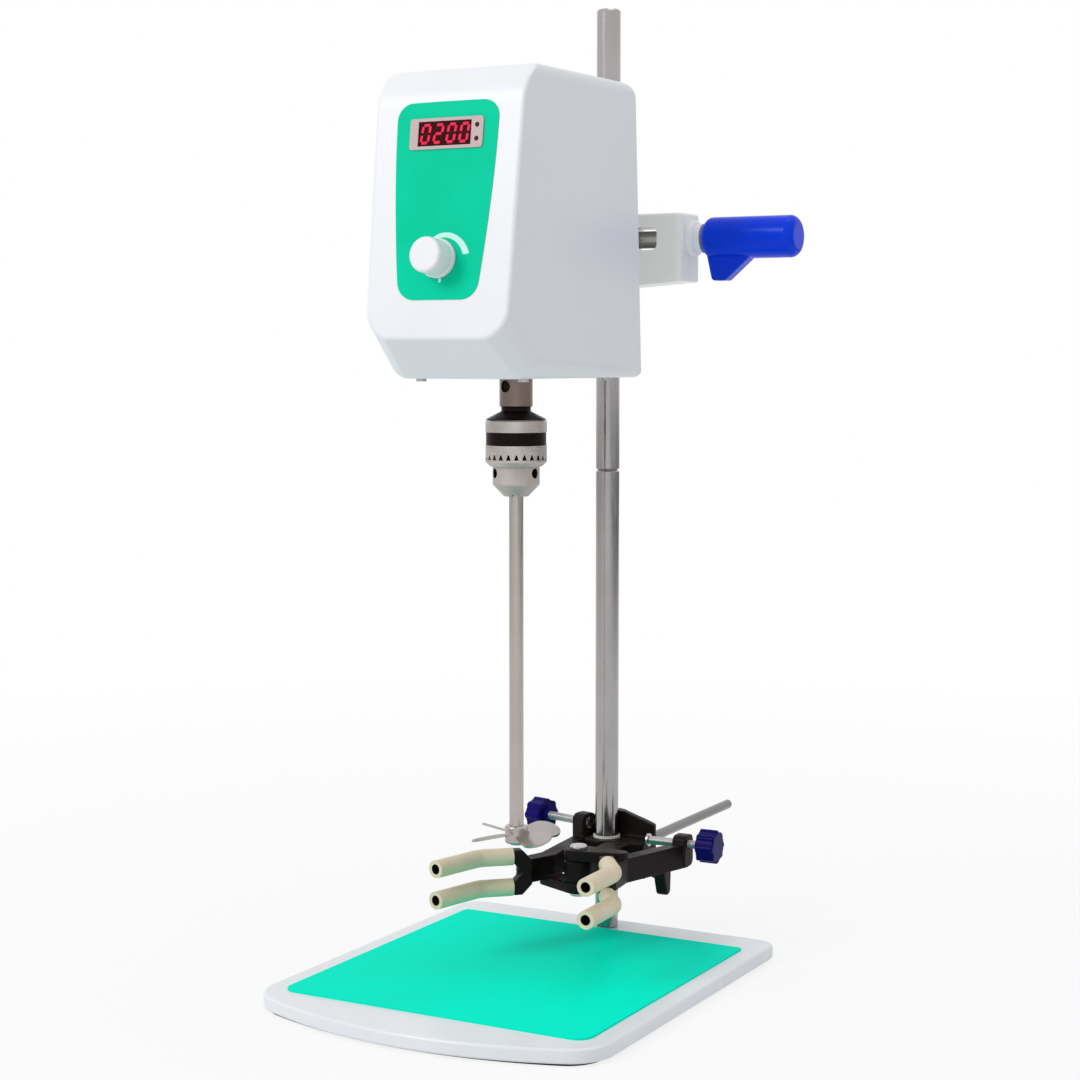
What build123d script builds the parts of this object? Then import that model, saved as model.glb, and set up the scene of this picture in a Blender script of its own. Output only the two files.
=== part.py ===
from build123d import *
from math import acos, asin, atan2, cos, degrees, hypot, pi, radians, sin, sqrt, tan
import os

# An overhead laboratory stirrer: a drive head on a column stand, a keyed chuck with a
# stir shaft and propeller, and a four-finger vessel clamp. Millimetres, X to the right,
# Y to the rear, Z up. The origin lies on the bench, under the stirring axis.

# Clearances
running = 0.05        # radial, between a shaft or bush and what turns on it
seat = 0.2            # round a plate that drops into an opening
face_gap = 0.3        # between two flat faces that move past each other

# Stand
liner_t = 1.5
base_t = 8.0
base_half_w = 106.0
base_back_y = 128.0
base_front_corner_y = -103.0
base_front_y = -129.0
base_back_r = 12.0
base_front_r = 26.0
base_edge_r = 1.6
liner_inset = 5.0
mat_t = 1.5
mat_sunk = 0.5
mat_half_w = 94.0
mat_back_y = 102.5
mat_front_y = -95.5
mat_back_r = 3.0
mat_front_r = 9.0
column_d = 14.0
column_y = 111.0
column_joint_z = 287.0
column_top_z = 557.0
column_end_chamfer = 1.0
stud_d = 8.0
stud_half_length = 20.0
foot_screw_d = 8.0
foot_screw_head_d = 16.0
foot_screw_head_h = 3.5
foot_screw_reach = 22.0

# Head bush and bracket
bush_wall = 1.1
bush_slit = 1.6
bush_flange_h = 1.6
bush_flange_w = 2.2
bracket_bottom_z = 395.0
bracket_top_z = 437.0
bracket_round_r = 15.5
bracket_front_y = 98.0
bracket_back_y = 124.0
bracket_right_x = 54.0
bracket_edge_r = 2.0
arm_half_w = 19.0
flange_w = 58.0
flange_h = 54.0
flange_t = 6.0
lever_z = 422.5
lever_screw_d = 10.0
window_left_x = 15.0
window_right_x = 38.0
window_h = 13.0
collar_dome_r = 10.5
collar_r = 8.4
collar_dome_l = 5.0
collar_end_x = 62.5
handle_left_x = 64.0
handle_right_x = 121.0
handle_r = 12.0
handle_end_r = 5.0
wing_drop = 24.5
wing_t = 10.0
pad_l = 2.4

# Drive head
head_bottom_z = 343.0
head_top_z = 506.0
head_back_foot_y = 57.5
head_back_top_y = 51.0
chin_y = -59.0
fascia_foot_y = -86.0
fascia_foot_z = 364.0
fascia_lean = 7.5
front_half_low = 43.0
front_half_top = 45.0
mid_half_low = 44.5
mid_half_top = 45.5
back_half_low = 48.5
back_half_top = 47.5
fascia_corner_r = 21.0
chin_corner_r = 12.0
back_corner_r = 4.0
top_corner_r = 7.0
front_top_r = 24.0
back_top_r = 11.0
chin_fold_r = 2.5
fascia_edge_r = 2.5
crown_trim = 0.1
wall = 3.0
rim = 6.0

# Front panel, measured along the leaning fascia from its foot
panel_foot = 20.2
panel_head = 123.5
panel_crown = 1.6
panel_foot_half = 23.4
panel_head_half = 30.6
panel_foot_r = 12.0
panel_head_r = 9.0
panel_t = 1.0
panel_proud = 0.4
bezel_mid = 106.8
bezel_w = 44.0
bezel_h = 16.2
bezel_r = 1.8
bezel_proud = 1.2
display_x = -1.0
display_w = 32.0
display_h = 12.9
display_sunk = 0.5
led_x = 18.4
led_pitch = 7.2
led_d = 2.6
knob_mid = 41.5
knob_foot_d = 20.6
knob_front_d = 18.6
knob_h = 15.0
knob_skirt_h = 2.0
pot_d = 16.0
pot_depth = 8.0
pot_shaft_d = 6.0
board_depth = 11.5
board_t = 1.6
board_half_w = 33.0
board_post_d = 6.0

# Drive train
shelf_z = 362.0
shelf_t = 4.0
shelf_half_w = 32.0
shelf_front_y = -22.0
chassis_top_z = 455.0
chassis_t = 3.0
chassis_half_w = 30.0
gusset_reach = 28.0
gusset_t = 3.0
gear_module = 0.8
spindle_teeth = 45
pinion_teeth = 18
gear_t = 8.0
gear_hub_d = 18.0
gear_z = 373.0
tooth_backlash = 0.24
motor_plate_z = 386.0
motor_plate_t = 5.0
motor_plate_w = 62.0
motor_plate_margin = 18.8
motor_d = 40.0
motor_h = 58.0
motor_shaft_d = 5.0
spindle_d = 12.0
spindle_top_z = 390.5
bearing_od = 28.0
bearing_t = 8.0
bearing_z = 352.0
cup_od = 36.0
cup_flange_d = 48.0
adapter_d = 18.4
adapter_top_z = 349.0
adapter_bottom_z = 327.0
adapter_hole_d = 6.5
adapter_hole_z = 338.3
adapter_hole_angle = -102.5
spindle_hole_d = 22.0

# Chuck, stir shaft and propeller
chuck_d = 34.0
chuck_top_z = 324.7
chuck_shoulder_z = 319.7
chuck_bevel_z = 296.8
chuck_sleeve_foot_z = 294.3
chuck_nose_z = 284.2
chuck_mouth_z = 277.7
chuck_neck_d = 16.4
chuck_body_d = 26.0
chuck_mouth_d = 13.4
chuck_bore_d = 10.4
chuck_band_low_z = 305.9
chuck_band_high_z = 313.2
chuck_band_depth = 0.35
chuck_teeth = 24
key_hole_d = 5.6
key_hole_z = 290.6
key_hole_angle = -6.8
chuck_jaw_d = 5.0
chuck_jaw_lean = 10.0
chuck_jaw_foot_z = 278.7
chuck_jaw_foot_r = 5.2
chuck_jaw_l = 21.0
chuck_jaw_travel = 5.7
nut_low_z = 298.0
nut_h = 5.0
shaft_d = 8.0
shaft_foot_z = 82.0
shaft_head_z = 312.0
grip_gap = 0.02
propeller_z = 88.0
propeller_r = 28.5
propeller_hub_d = 13.0
propeller_hub_h = 10.0
blade_pitch = 19.0
blade_angle = 64.0
blade_count = 4
blade_t = 1.2
blade_root_w = 7.0
blade_tip_w = 17.0

# Rear of the head
inlet_x = -17.0
inlet_z = 475.0
inlet_w = 27.0
inlet_h = 19.6
inlet_depth = 20.0
switch_x = 22.0
switch_w = 19.0
switch_h = 13.0
switch_depth = 14.0

# Vessel clamp
clamp_z = 58.5
stem_x = 13.0
stem_d = 6.0
stem_spigot_d = 4.8
stem_tip_y = 262.0
pivot_y = 50.0
pivot_d = 6.0
hub_r = 8.5
hub_t = 6.4
boss_low_z = 41.0
boss_top_z = 80.0
boss_r = 14.0
boss_half_w = 11.0
boss_right_x = 29.0
boss_arm_w = 11.0
boss_arm_t = 12.0
boss_screw_z = 48.0
boss_screw_d = 6.0
boss_screw_end_x = 36.0
hook_x = 34.0
hook_t = 7.0
finger_pitch = 18.0
left_rise = -1.5
right_rise = 2.0
left_splay = 12.4
right_splay = 2.3
fork_out = 27.4
fork_front = 20.9
finger_bend = 34.0
finger_root_l = 24.0
finger_tip_l = 36.0
finger_bend_r = 11.0
core_d = 5.6
core_short = 9.0
sleeve_d = 10.2
lug_out = 42.0
lug_back = 55.0
lug_t = 8.4
lug_w = 13.0
left_screw_z = 15.0
right_screw_z = 6.5
web_w = 8.0
web_h = 14.0
thumb_screw_d = 5.0
thumb_screw_l = 33.0
thumb_gap = 0.6
foot_dome_r = 12.0
foot_d = 7.6
foot_t = 1.8
foot_recess = 4.2
boss_left_x = -10.2
thumb_knob_d = 20.0
thumb_knob_t = 11.0
thumb_lobes = 8

# Places that follow from the values above
base_foot_z = liner_t
base_top_z = liner_t + base_t
column_r = column_d / 2
bush_r = column_r + bush_wall
bush_bore_r = column_r + running
housing_bore_r = bush_r + running
column_axis = (0, column_y)
gear_distance = gear_module * (spindle_teeth + pinion_teeth) / 2
lean_sin = sin(radians(fascia_lean))
lean_cos = cos(radians(fascia_lean))
fascia_plane = Plane(
    origin=(0, fascia_foot_y, fascia_foot_z),
    x_dir=(1, 0, 0),
    z_dir=(0, -lean_cos, lean_sin),
)


def write(name, shape):
    """Write one sub-part to its own file."""
    solids = shape.solids()
    whole = solids[0] if len(solids) == 1 else Compound(children=list(solids))
    whole.label = name
    export_step(whole, os.path.join("parts", name + ".step"))


def rod(radius, low, high, x=0.0, y=0.0):
    """An upright round bar from one height to another."""
    return Pos(x, y, (low + high) / 2) * Cylinder(radius, high - low)


def rod_x(radius, left, right, y, z):
    """A round bar along X."""
    return Pos((left + right) / 2, y, z) * Rot(0, 90, 0) * Cylinder(radius, right - left)


def block(x0, x1, y0, y1, z0, z1):
    """A box between its low and high corners."""
    middle = Pos((x0 + x1) / 2, (y0 + y1) / 2, (z0 + z1) / 2)
    return middle * Box(x1 - x0, y1 - y0, z1 - z0)


def tapered_bar(x0, y0, r0, x1, y1, r1):
    """The flat outline round two circles of different size."""
    circles = (Pos(x0, y0) * Circle(r0)).edges() + (Pos(x1, y1) * Circle(r1)).edges()
    return make_hull(circles)


def raised(sketch, low, high):
    """A plan outline made solid between two heights."""
    return Pos(0, 0, low) * extrude(sketch, high - low)


# Stand


def plate_outline(half_w, back_y, corner_y, front_y, back_r, front_r):
    """The plan of the base: straight sides and back, and a bowed front edge."""
    edges = Polyline((half_w, corner_y), (half_w, back_y), (-half_w, back_y), (-half_w, corner_y))
    edges += ThreePointArc((-half_w, corner_y), (0, front_y), (half_w, corner_y))
    face = make_face(edges)
    back = face.vertices().filter_by_position(Axis.Y, back_y - 1, back_y + 1)
    face = fillet(back, back_r)
    front = face.vertices().filter_by_position(Axis.Y, corner_y - 1, corner_y + 1)
    return fillet(front, front_r)


def base_plate():
    outline = plate_outline(
        base_half_w, base_back_y, base_front_corner_y, base_front_y, base_back_r, base_front_r
    )
    plate = raised(outline, base_foot_z, base_top_z)
    rims = plate.edges().group_by(Axis.Z)
    plate = fillet(rims[0] + rims[-1], base_edge_r)
    plate -= raised(mat_outline(0), base_top_z - mat_sunk, base_top_z + 1)
    plate -= rod(foot_screw_d / 2, base_foot_z - 1, base_top_z + 1, *column_axis)
    sunk = base_foot_z + foot_screw_head_h
    return plate - rod(foot_screw_head_d / 2 + seat, base_foot_z - 1, sunk, *column_axis)


def base_liner():
    outline = plate_outline(
        base_half_w - liner_inset,
        base_back_y - liner_inset,
        base_front_corner_y,
        base_front_y + liner_inset,
        base_back_r - liner_inset / 2,
        base_front_r - liner_inset,
    )
    return raised(outline, 0, liner_t)


def mat_outline(inset):
    middle = (mat_back_y + mat_front_y) / 2
    face = Pos(0, middle) * Rectangle(2 * (mat_half_w - inset), mat_back_y - mat_front_y - 2 * inset)
    back = face.vertices().group_by(Axis.Y)[-1]
    face = fillet(back, mat_back_r)
    front = face.vertices().group_by(Axis.Y)[0]
    return fillet(front, mat_front_r)


def work_mat():
    floor = base_top_z - mat_sunk
    return raised(mat_outline(seat), floor, floor + mat_t)


def column_length(low, high, bore_low, bore_high):
    """One length of the column, with chamfered ends and a blind bore at each given span."""
    bar = rod(column_r, low, high, *column_axis)
    rims = bar.edges().filter_by(GeomType.CIRCLE)
    bar = chamfer(rims, column_end_chamfer)
    for bore_r, span in ((foot_screw_d / 2, bore_low), (stud_d / 2, bore_high)):
        if span:
            bar -= rod(bore_r, span[0], span[1], *column_axis)
    return bar


def column_lower():
    foot = (base_top_z - 1, base_top_z + foot_screw_reach)
    head = (column_joint_z - stud_half_length, column_joint_z + 1)
    return column_length(base_top_z, column_joint_z, foot, head)


def column_upper():
    socket = (column_joint_z - 1, column_joint_z + stud_half_length)
    return column_length(column_joint_z, column_top_z, None, socket)


def column_stud():
    return rod(stud_d / 2, column_joint_z - stud_half_length, column_joint_z + stud_half_length, *column_axis)


def foot_screw():
    head = rod(foot_screw_head_d / 2, base_foot_z, base_foot_z + foot_screw_head_h, *column_axis)
    shank = rod(foot_screw_d / 2, base_foot_z, base_top_z + foot_screw_reach, *column_axis)
    socket = Pos(0, column_y, base_foot_z - 1) * extrude(RegularPolygon(3.4, 6), 3)
    return head + shank - socket


def split_bush(low, high):
    """A slit sleeve with a low flange, between the column and a casting."""
    tube = rod(bush_r, low, high, *column_axis)
    tube += rod(bush_r + bush_flange_w, low, low + bush_flange_h, *column_axis)
    tube -= rod(bush_bore_r, low - 1, high + 1, *column_axis)
    return tube - block(-bush_slit / 2, bush_slit / 2, column_y, column_y + 2 * bush_r, low - 1, high + 1)


# Drive head shell


def head_section(y, half_low, half_top, foot_z, corner_r, inset):
    """A front-on outline of the head at one depth, drawn in by the wall where inset."""
    low = foot_z + inset
    high = head_top_z - inset
    a = half_low - inset
    b = half_top - inset
    face = make_face(Polyline((-a, low), (a, low), (b, high), (-b, high), close=True))
    foot = face.vertices().group_by(Axis.Y)[0]
    face = fillet(foot, max(corner_r - inset, 1.0))
    crown = face.vertices().group_by(Axis.Y)[-1]
    face = fillet(crown, max(top_corner_r - inset, 1.0))
    return Plane(origin=(0, y, 0), x_dir=(1, 0, 0), z_dir=(0, -1, 0)) * face


def head_profile(inset):
    """The side view of the head: leaning fascia, chin, and rounded top."""
    rise = head_top_z - fascia_foot_z
    fascia_top_y = fascia_foot_y + rise * tan(radians(fascia_lean))
    points = (
        (chin_y, head_bottom_z),
        (fascia_foot_y, fascia_foot_z),
        (fascia_top_y, head_top_z),
        (head_back_top_y, head_top_z),
        (head_back_foot_y, head_bottom_z),
    )
    face = make_face(Polyline(*points, close=True))
    for (y, z), radius in zip(points, (chin_fold_r, chin_fold_r, front_top_r, back_top_r, chin_fold_r)):
        corner = face.vertices().sort_by_distance(Vector(y, z, 0))[0]
        face = fillet(corner, radius)
    if inset:
        face = offset(face, -inset, kind=Kind.INTERSECTION)
    return Plane.YZ * face


def head_form(inset):
    """The whole head as one solid, drawn in on every side by inset."""
    sections = (
        head_section(fascia_foot_y - 1, front_half_low, front_half_top, fascia_foot_z - 0.8, fascia_corner_r, inset),
        head_section(chin_y, mid_half_low, mid_half_top, head_bottom_z, chin_corner_r, inset),
        head_section(head_back_foot_y + 1, back_half_low, back_half_top, head_bottom_z, back_corner_r, inset),
    )
    body = loft(sections, ruled=True)
    side = extrude(head_profile(inset), 2 * back_half_low, both=True)
    return body & side


def lies_on_fascia(edge):
    """True for an edge in the plane of the fascia."""
    heights = [((edge @ t) - fascia_plane.origin).dot(fascia_plane.z_dir) for t in (0, 0.5, 1)]
    return max(abs(h) for h in heights) < 0.05


def outer_head():
    """The outer form, its fascia rounded over into the chin, sides and top, and its crown faced flat."""
    body = head_form(0)
    body = fillet([e for e in body.edges() if lies_on_fascia(e)], fascia_edge_r)
    side = 2 * back_half_low
    return body - block(-side, side, -side, side, head_top_z - crown_trim, head_top_z + 1)


def on_fascia(sketch, depth, length):
    """A sketch in fascia coordinates made solid: from depth below the face, outwards by length."""
    plane = fascia_plane.offset(-depth)
    return extrude(plane * sketch, length)


def fascia_rod(x, v, radius, depth, length):
    """A round bar square to the fascia."""
    return on_fascia(Pos(x, v) * Circle(radius), depth, length)


def panel_outline(inset):
    low = panel_foot + inset
    high = panel_head - inset
    a = panel_foot_half - inset
    b = panel_head_half - inset
    edges = Polyline((-b, high - panel_crown), (-a, low), (a, low), (b, high - panel_crown))
    edges += ThreePointArc((b, high - panel_crown), (0, high), (-b, high - panel_crown))
    face = make_face(edges)
    foot = face.vertices().group_by(Axis.Y)[0]
    face = fillet(foot, panel_foot_r)
    crown = face.vertices().filter_by_position(Axis.Y, high - panel_crown - 0.1, high)
    return fillet(crown, panel_head_r)


def board_corners():
    middle = (panel_foot + panel_head) / 2
    reach = (panel_head - panel_foot) / 2 - 2
    return [(x, middle + s * reach) for x in (-board_half_w + 5, board_half_w - 5) for s in (-1, 1)]


def bottom_opening(inset):
    x = mid_half_low - rim - inset
    y0 = chin_y + rim + inset
    y1 = head_back_foot_y - rim - inset
    outline = Pos(0, (y0 + y1) / 2) * RectangleRounded(2 * x, y1 - y0, 5)
    return raised(outline, head_bottom_z - 5, head_bottom_z + wall)


def rear_opening(inset):
    x = back_half_top - rim - inset
    z0 = head_bottom_z + rim + inset
    z1 = head_top_z - rim - back_top_r / 2 - inset
    outline = Pos(0, (z0 + z1) / 2) * RectangleRounded(2 * x, z1 - z0, 5)
    plane = Plane(origin=(0, head_back_foot_y + 5, 0), x_dir=(1, 0, 0), z_dir=(0, -1, 0))
    return extrude(plane * outline, head_back_foot_y - head_back_top_y + wall + 7)


def housing_shell(outer, inner):
    shell = outer - inner - bottom_opening(0) - rear_opening(0)
    for x, v in board_corners():
        post = fascia_rod(x, v, board_post_d / 2, board_depth, board_depth - wall / 2)
        shell += post - fascia_rod(x, v, 1.2, board_depth + 1, 6)
    shell -= on_fascia(panel_outline(0), panel_t - panel_proud, 5)
    window = Pos(0, bezel_mid) * RectangleRounded(bezel_w - 3, bezel_h - 3, 1)
    shell -= on_fascia(window, wall + 2, 10)
    return shell - fascia_rod(0, knob_mid, pot_shaft_d / 2 + 1.5, wall + 2, 10)


def bottom_plate(outer, inner):
    plate = (outer - inner) & bottom_opening(seat)
    plate -= rod(spindle_hole_d / 2, head_bottom_z - 1, head_bottom_z + wall + 1)
    for x, y in bottom_screw_places():
        plate -= rod(1.7, head_bottom_z - 1, head_bottom_z + wall + 1, x, y)
    for i in range(-4, 5):
        plate -= block(i * 6 - 1.5, i * 6 + 1.5, 24, 44, head_bottom_z - 1, head_bottom_z + wall + 1)
    return plate


def bottom_screw_places():
    x = mid_half_low - rim - 7
    return [(sx * x, y) for sx in (-1, 1) for y in (chin_y + rim + 5, head_back_foot_y - rim - 5)]


def rear_screw_places():
    x = back_half_top - rim - 5
    z = (head_bottom_z + rim + 5, head_top_z - rim - back_top_r / 2 - 5)
    return [(sx * x, sz) for sx in (-1, 1) for sz in z]


def bolt_places():
    x = flange_w / 2 - 7
    z = flange_h / 2 - 7
    middle = (bracket_bottom_z + bracket_top_z) / 2
    return [(sx * x, middle + sz * z) for sx in (-1, 1) for sz in (-1, 1)]


def back_y(z):
    """The rear face's depth at a height."""
    share = (z - head_bottom_z) / (head_top_z - head_bottom_z)
    return head_back_foot_y + share * (head_back_top_y - head_back_foot_y)


def rod_y(radius, front, back, x, z):
    """A round bar along Y."""
    return Pos(x, (front + back) / 2, z) * Rot(90, 0, 0) * Cylinder(radius, back - front)


def rear_cover(outer, inner):
    cover = (outer - inner) & rear_opening(seat)
    for x, z in rear_screw_places():
        cover -= rod_y(1.7, head_back_top_y - 10, head_back_foot_y + 10, x, z)
    for x, z in bolt_places():
        cover -= rod_y(2.6, head_back_top_y - 10, head_back_foot_y + 10, x, z)
    deep = (head_back_top_y - 10, head_back_foot_y + 10)
    cover -= block(inlet_x - inlet_w / 2, inlet_x + inlet_w / 2, *deep, inlet_z - inlet_h / 2, inlet_z + inlet_h / 2)
    hole = (switch_x - switch_w / 2, switch_x + switch_w / 2)
    return cover - block(*hole, *deep, inlet_z - switch_h / 2, inlet_z + switch_h / 2)


def cover_screws():
    """Pan-head screws of the bottom plate and the rear cover."""
    screws = []
    for x, y in bottom_screw_places():
        head = rod(2.8, head_bottom_z - 1.6, head_bottom_z, x, y)
        screws.append(head + rod(1.6, head_bottom_z - 1, head_bottom_z + 8, x, y))
    for x, z in rear_screw_places():
        y = back_y(z)
        head = rod_y(2.8, y - 0.4, y + 1.8, x, z) - head_form(0)
        screws.append(head + rod_y(1.6, y - 8, y + 1, x, z))
    return Compound(children=[s.solids()[0] for s in screws])


# Front panel and electronics


def front_panel():
    plate = on_fascia(panel_outline(seat), panel_t - panel_proud, panel_t)
    opening = Pos(0, bezel_mid) * RectangleRounded(bezel_w - 3, bezel_h - 3, 1)
    plate -= on_fascia(opening, panel_t + 1, 5)
    return plate - fascia_rod(0, knob_mid, pot_shaft_d / 2 + 1.5, panel_t + 1, 5)


def display_bezel():
    frame = Pos(0, bezel_mid) * RectangleRounded(bezel_w, bezel_h, bezel_r)
    ring = on_fascia(frame, -panel_proud, bezel_proud - panel_proud)
    inner = Pos(0, bezel_mid) * RectangleRounded(bezel_w - 3 - 2 * seat, bezel_h - 3 - 2 * seat, 0.8)
    ring += on_fascia(inner, wall, wall + panel_proud)
    lens = Pos(display_x, bezel_mid) * Rectangle(display_w, display_h)
    ring -= on_fascia(lens, wall + 1, 10)
    for s in (-1, 1):
        ring -= fascia_rod(led_x, bezel_mid + s * led_pitch / 2, led_d / 2, wall + 1, 10)
    return ring


def display_window():
    lens = Pos(display_x, bezel_mid) * Rectangle(display_w, display_h)
    return on_fascia(lens, wall - 1, wall - 1 + bezel_proud - display_sunk)


def indicator_leds():
    lights = []
    for s in (-1, 1):
        lights.append(fascia_rod(led_x, bezel_mid + s * led_pitch / 2, led_d / 2, board_depth, board_depth + bezel_proud))
    return Compound(children=[one.solids()[0] for one in lights])


def control_board():
    middle = (panel_foot + panel_head) / 2
    sheet = Pos(0, middle) * Rectangle(2 * board_half_w, panel_head - panel_foot + 4)
    board = on_fascia(sheet, board_depth + board_t, board_t)
    digits = Pos(display_x, bezel_mid) * Rectangle(display_w - 1, display_h - 1)
    board += on_fascia(digits, board_depth, board_depth - wall + 1)
    parts = ((-20, 50, 12, 8, 5), (14, 66, 16, 16, 7), (-16, 76, 10, 14, 9), (20, 86, 8, 8, 4))
    for x, v, w, h, depth in parts:
        board += on_fascia(Pos(x, v) * Rectangle(w, h), board_depth + board_t + depth, depth)
    return board - fascia_rod(0, knob_mid, pot_d / 2 + 1, board_depth + board_t + 1, board_t + 2)


def potentiometer():
    can = fascia_rod(0, knob_mid, pot_d / 2, wall + pot_depth, pot_depth)
    bush = fascia_rod(0, knob_mid, pot_shaft_d / 2 + 1.4, wall, wall + panel_proud)
    return can + bush - fascia_rod(0, knob_mid, pot_shaft_d / 2 + running, wall + pot_depth - 2, 20)


def speed_knob():
    """The knob, tapered to its front, with its skirt, pointer groove and shaft."""
    foot = panel_proud + face_gap
    profile = Polyline(
        (0, foot),
        (knob_foot_d / 2, foot),
        (knob_foot_d / 2, foot + knob_skirt_h),
        (knob_foot_d / 2 - 0.7, foot + knob_skirt_h + 0.8),
        (knob_front_d / 2, knob_h),
        (0, knob_h),
        close=True,
    )
    solid = revolve(Plane.XZ * make_face(profile), Axis.Z)
    rims = solid.edges().filter_by(GeomType.CIRCLE).group_by(Axis.Z)[-1]
    solid = fillet(rims, 1.6)
    solid += rod(pot_shaft_d / 2, -(wall + pot_depth - 3), foot + 1)
    place = Plane(
        origin=fascia_plane.origin + fascia_plane.y_dir * knob_mid,
        x_dir=fascia_plane.x_dir,
        z_dir=fascia_plane.z_dir,
    )
    return place * solid


# Chassis, motor and gears


def chassis(inner, inner_face):
    """A shelf for the spindle and an upright wall bolted through the rear cover."""
    wall_span = block(-chassis_half_w, chassis_half_w, 20, head_back_foot_y, shelf_z, chassis_top_z)
    upright = (inner - inner_face) & wall_span
    shelf = block(-shelf_half_w, shelf_half_w, shelf_front_y, back_y(shelf_z) - wall - 1, shelf_z, shelf_z + shelf_t)
    corners = shelf.edges().filter_by(Axis.Z).group_by(Axis.Y)[0]
    frame = fillet(corners, 8) + upright
    root_y = shelf_front_y + 70
    points = ((root_y - gusset_reach, shelf_z), (root_y, shelf_z), (root_y, motor_plate_z))
    outline = make_face(Polyline(*points, close=True))
    for x in (-chassis_half_w, chassis_half_w - gusset_t):
        frame += Pos(x, 0, 0) * extrude(Plane.YZ * outline, gusset_t)
    frame = frame & inner
    frame -= rod(spindle_d / 2 + 2, shelf_z - 1, shelf_z + shelf_t + 1)
    for x, z in bolt_places():
        frame -= rod_y(2.1, 30, head_back_foot_y, x, z)
    return frame


def leg_places():
    return [(sx * 21, y) for sx in (-1, 1) for y in (-14, 34)]


def motor_plate():
    """The upper plate of the gear case, on four legs."""
    y0 = shelf_front_y + 1
    y1 = gear_distance + motor_plate_margin
    outline = Pos(0, (y0 + y1) / 2) * RectangleRounded(motor_plate_w, y1 - y0, 8)
    plate = raised(outline, motor_plate_z, motor_plate_z + motor_plate_t)
    for x, y in leg_places():
        plate += rod(4.5, shelf_z + shelf_t, motor_plate_z + 1, x, y)
    plate -= rod(bearing_od / 2, motor_plate_z - 1, motor_plate_z + motor_plate_t - 1)
    plate -= rod(spindle_d / 2 + 1.5, motor_plate_z, motor_plate_z + motor_plate_t + 1)
    return plate - rod(6, motor_plate_z - 1, motor_plate_z + motor_plate_t + 1, 0, gear_distance)


def motor_can():
    low = motor_plate_z + motor_plate_t
    can = rod(motor_d / 2, low, low + motor_h, 0, gear_distance)
    rims = can.edges().filter_by(GeomType.CIRCLE)
    can = fillet(rims, 1.5)
    can += rod(6.5, low + motor_h - 0.5, low + motor_h + 2.5, 0, gear_distance)
    return can - rod(motor_shaft_d / 2 + running, low - 1, low + 14, 0, gear_distance)


def involute(x):
    return tan(x) - x


def gear_outline(teeth, turn):
    """A spur gear outline with involute flanks, each drawn by three points."""
    pitch_r = gear_module * teeth / 2
    base_r = pitch_r * cos(radians(20))
    tip_r = pitch_r + gear_module
    root_r = pitch_r - 1.25 * gear_module
    start_r = max(base_r, root_r)
    half_pitch = pi / (2 * teeth) - tooth_backlash / (2 * pitch_r)
    radii = [start_r, (start_r + tip_r) / 2, tip_r]
    if root_r < start_r:
        radii.insert(0, root_r)
    points = []
    for i in range(teeth):
        middle = radians(turn) + 2 * pi * i / teeth
        flank = []
        for r in radii:
            angle = acos(min(1.0, base_r / max(r, base_r)))
            flank.append((r, half_pitch + involute(radians(20)) - involute(angle)))
        points += [(r * cos(middle - a), r * sin(middle - a)) for r, a in flank]
        points += [(r * cos(middle + a), r * sin(middle + a)) for r, a in reversed(flank)]
    return make_face(Polyline(*points, close=True))


def spindle_gear():
    wheel = raised(gear_outline(spindle_teeth, 90), gear_z, gear_z + gear_t)
    wheel += rod(gear_hub_d / 2, gear_z - 3, gear_z + gear_t + 2)
    middle = (gear_hub_d / 2 + gear_module * spindle_teeth / 2) / 2 - 0.8
    for i in range(5):
        hole = Rot(0, 0, 72 * i + 18) * Pos(middle, 0, 0) * rod(2.6, gear_z - 1, gear_z + gear_t + 1)
        wheel -= hole
    return wheel - rod(spindle_d / 2, gear_z - 5, gear_z + gear_t + 5)


def motor_pinion():
    turn = -90 + 180 / pinion_teeth
    wheel = raised(gear_outline(pinion_teeth, turn), gear_z - 1, gear_z + gear_t + 1)
    shaft = rod(motor_shaft_d / 2, gear_z - 2, motor_plate_z + motor_plate_t + 12)
    return Pos(0, gear_distance, 0) * (wheel + shaft)


def bearing(low, thick):
    """A ball bearing as rings and balls held in one cage section."""
    outer_r = bearing_od / 2
    inner_r = spindle_d / 2
    ring = rod(outer_r, low, low + thick) - rod(outer_r - 2.2, low - 1, low + thick + 1)
    core = rod(inner_r + 2.2, low, low + thick) - rod(inner_r + running, low - 1, low + thick + 1)
    shield = rod(outer_r - 2.2, low + 0.6, low + thick - 0.6) - rod(inner_r + 2.2, low - 1, low + thick + 1)
    return ring + core + shield


def spindle_bearings():
    upper = bearing(motor_plate_z - 2, motor_plate_t + 1)
    return Compound(children=[bearing(bearing_z, bearing_t).solids()[0], upper.solids()[0]])


def bearing_housing():
    low = bearing_z - 2
    cup = rod(cup_od / 2, low, shelf_z) + rod(cup_flange_d / 2, shelf_z - 4, shelf_z)
    cup -= rod(bearing_od / 2, bearing_z, shelf_z + 1)
    cup -= rod(adapter_d / 2 + 1, low - 1, shelf_z)
    for i in range(3):
        cup -= Rot(0, 0, 120 * i + 30) * rod(1.7, shelf_z - 5, shelf_z + 1, cup_flange_d / 2 - 3.2, 0)
    return cup


# Rotating spindle, chuck, shaft and propeller


def spindle_shaft():
    bar = rod(spindle_d / 2, adapter_bottom_z + 6, spindle_top_z)
    return chamfer(bar.edges().filter_by(GeomType.CIRCLE), 0.8)


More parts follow.
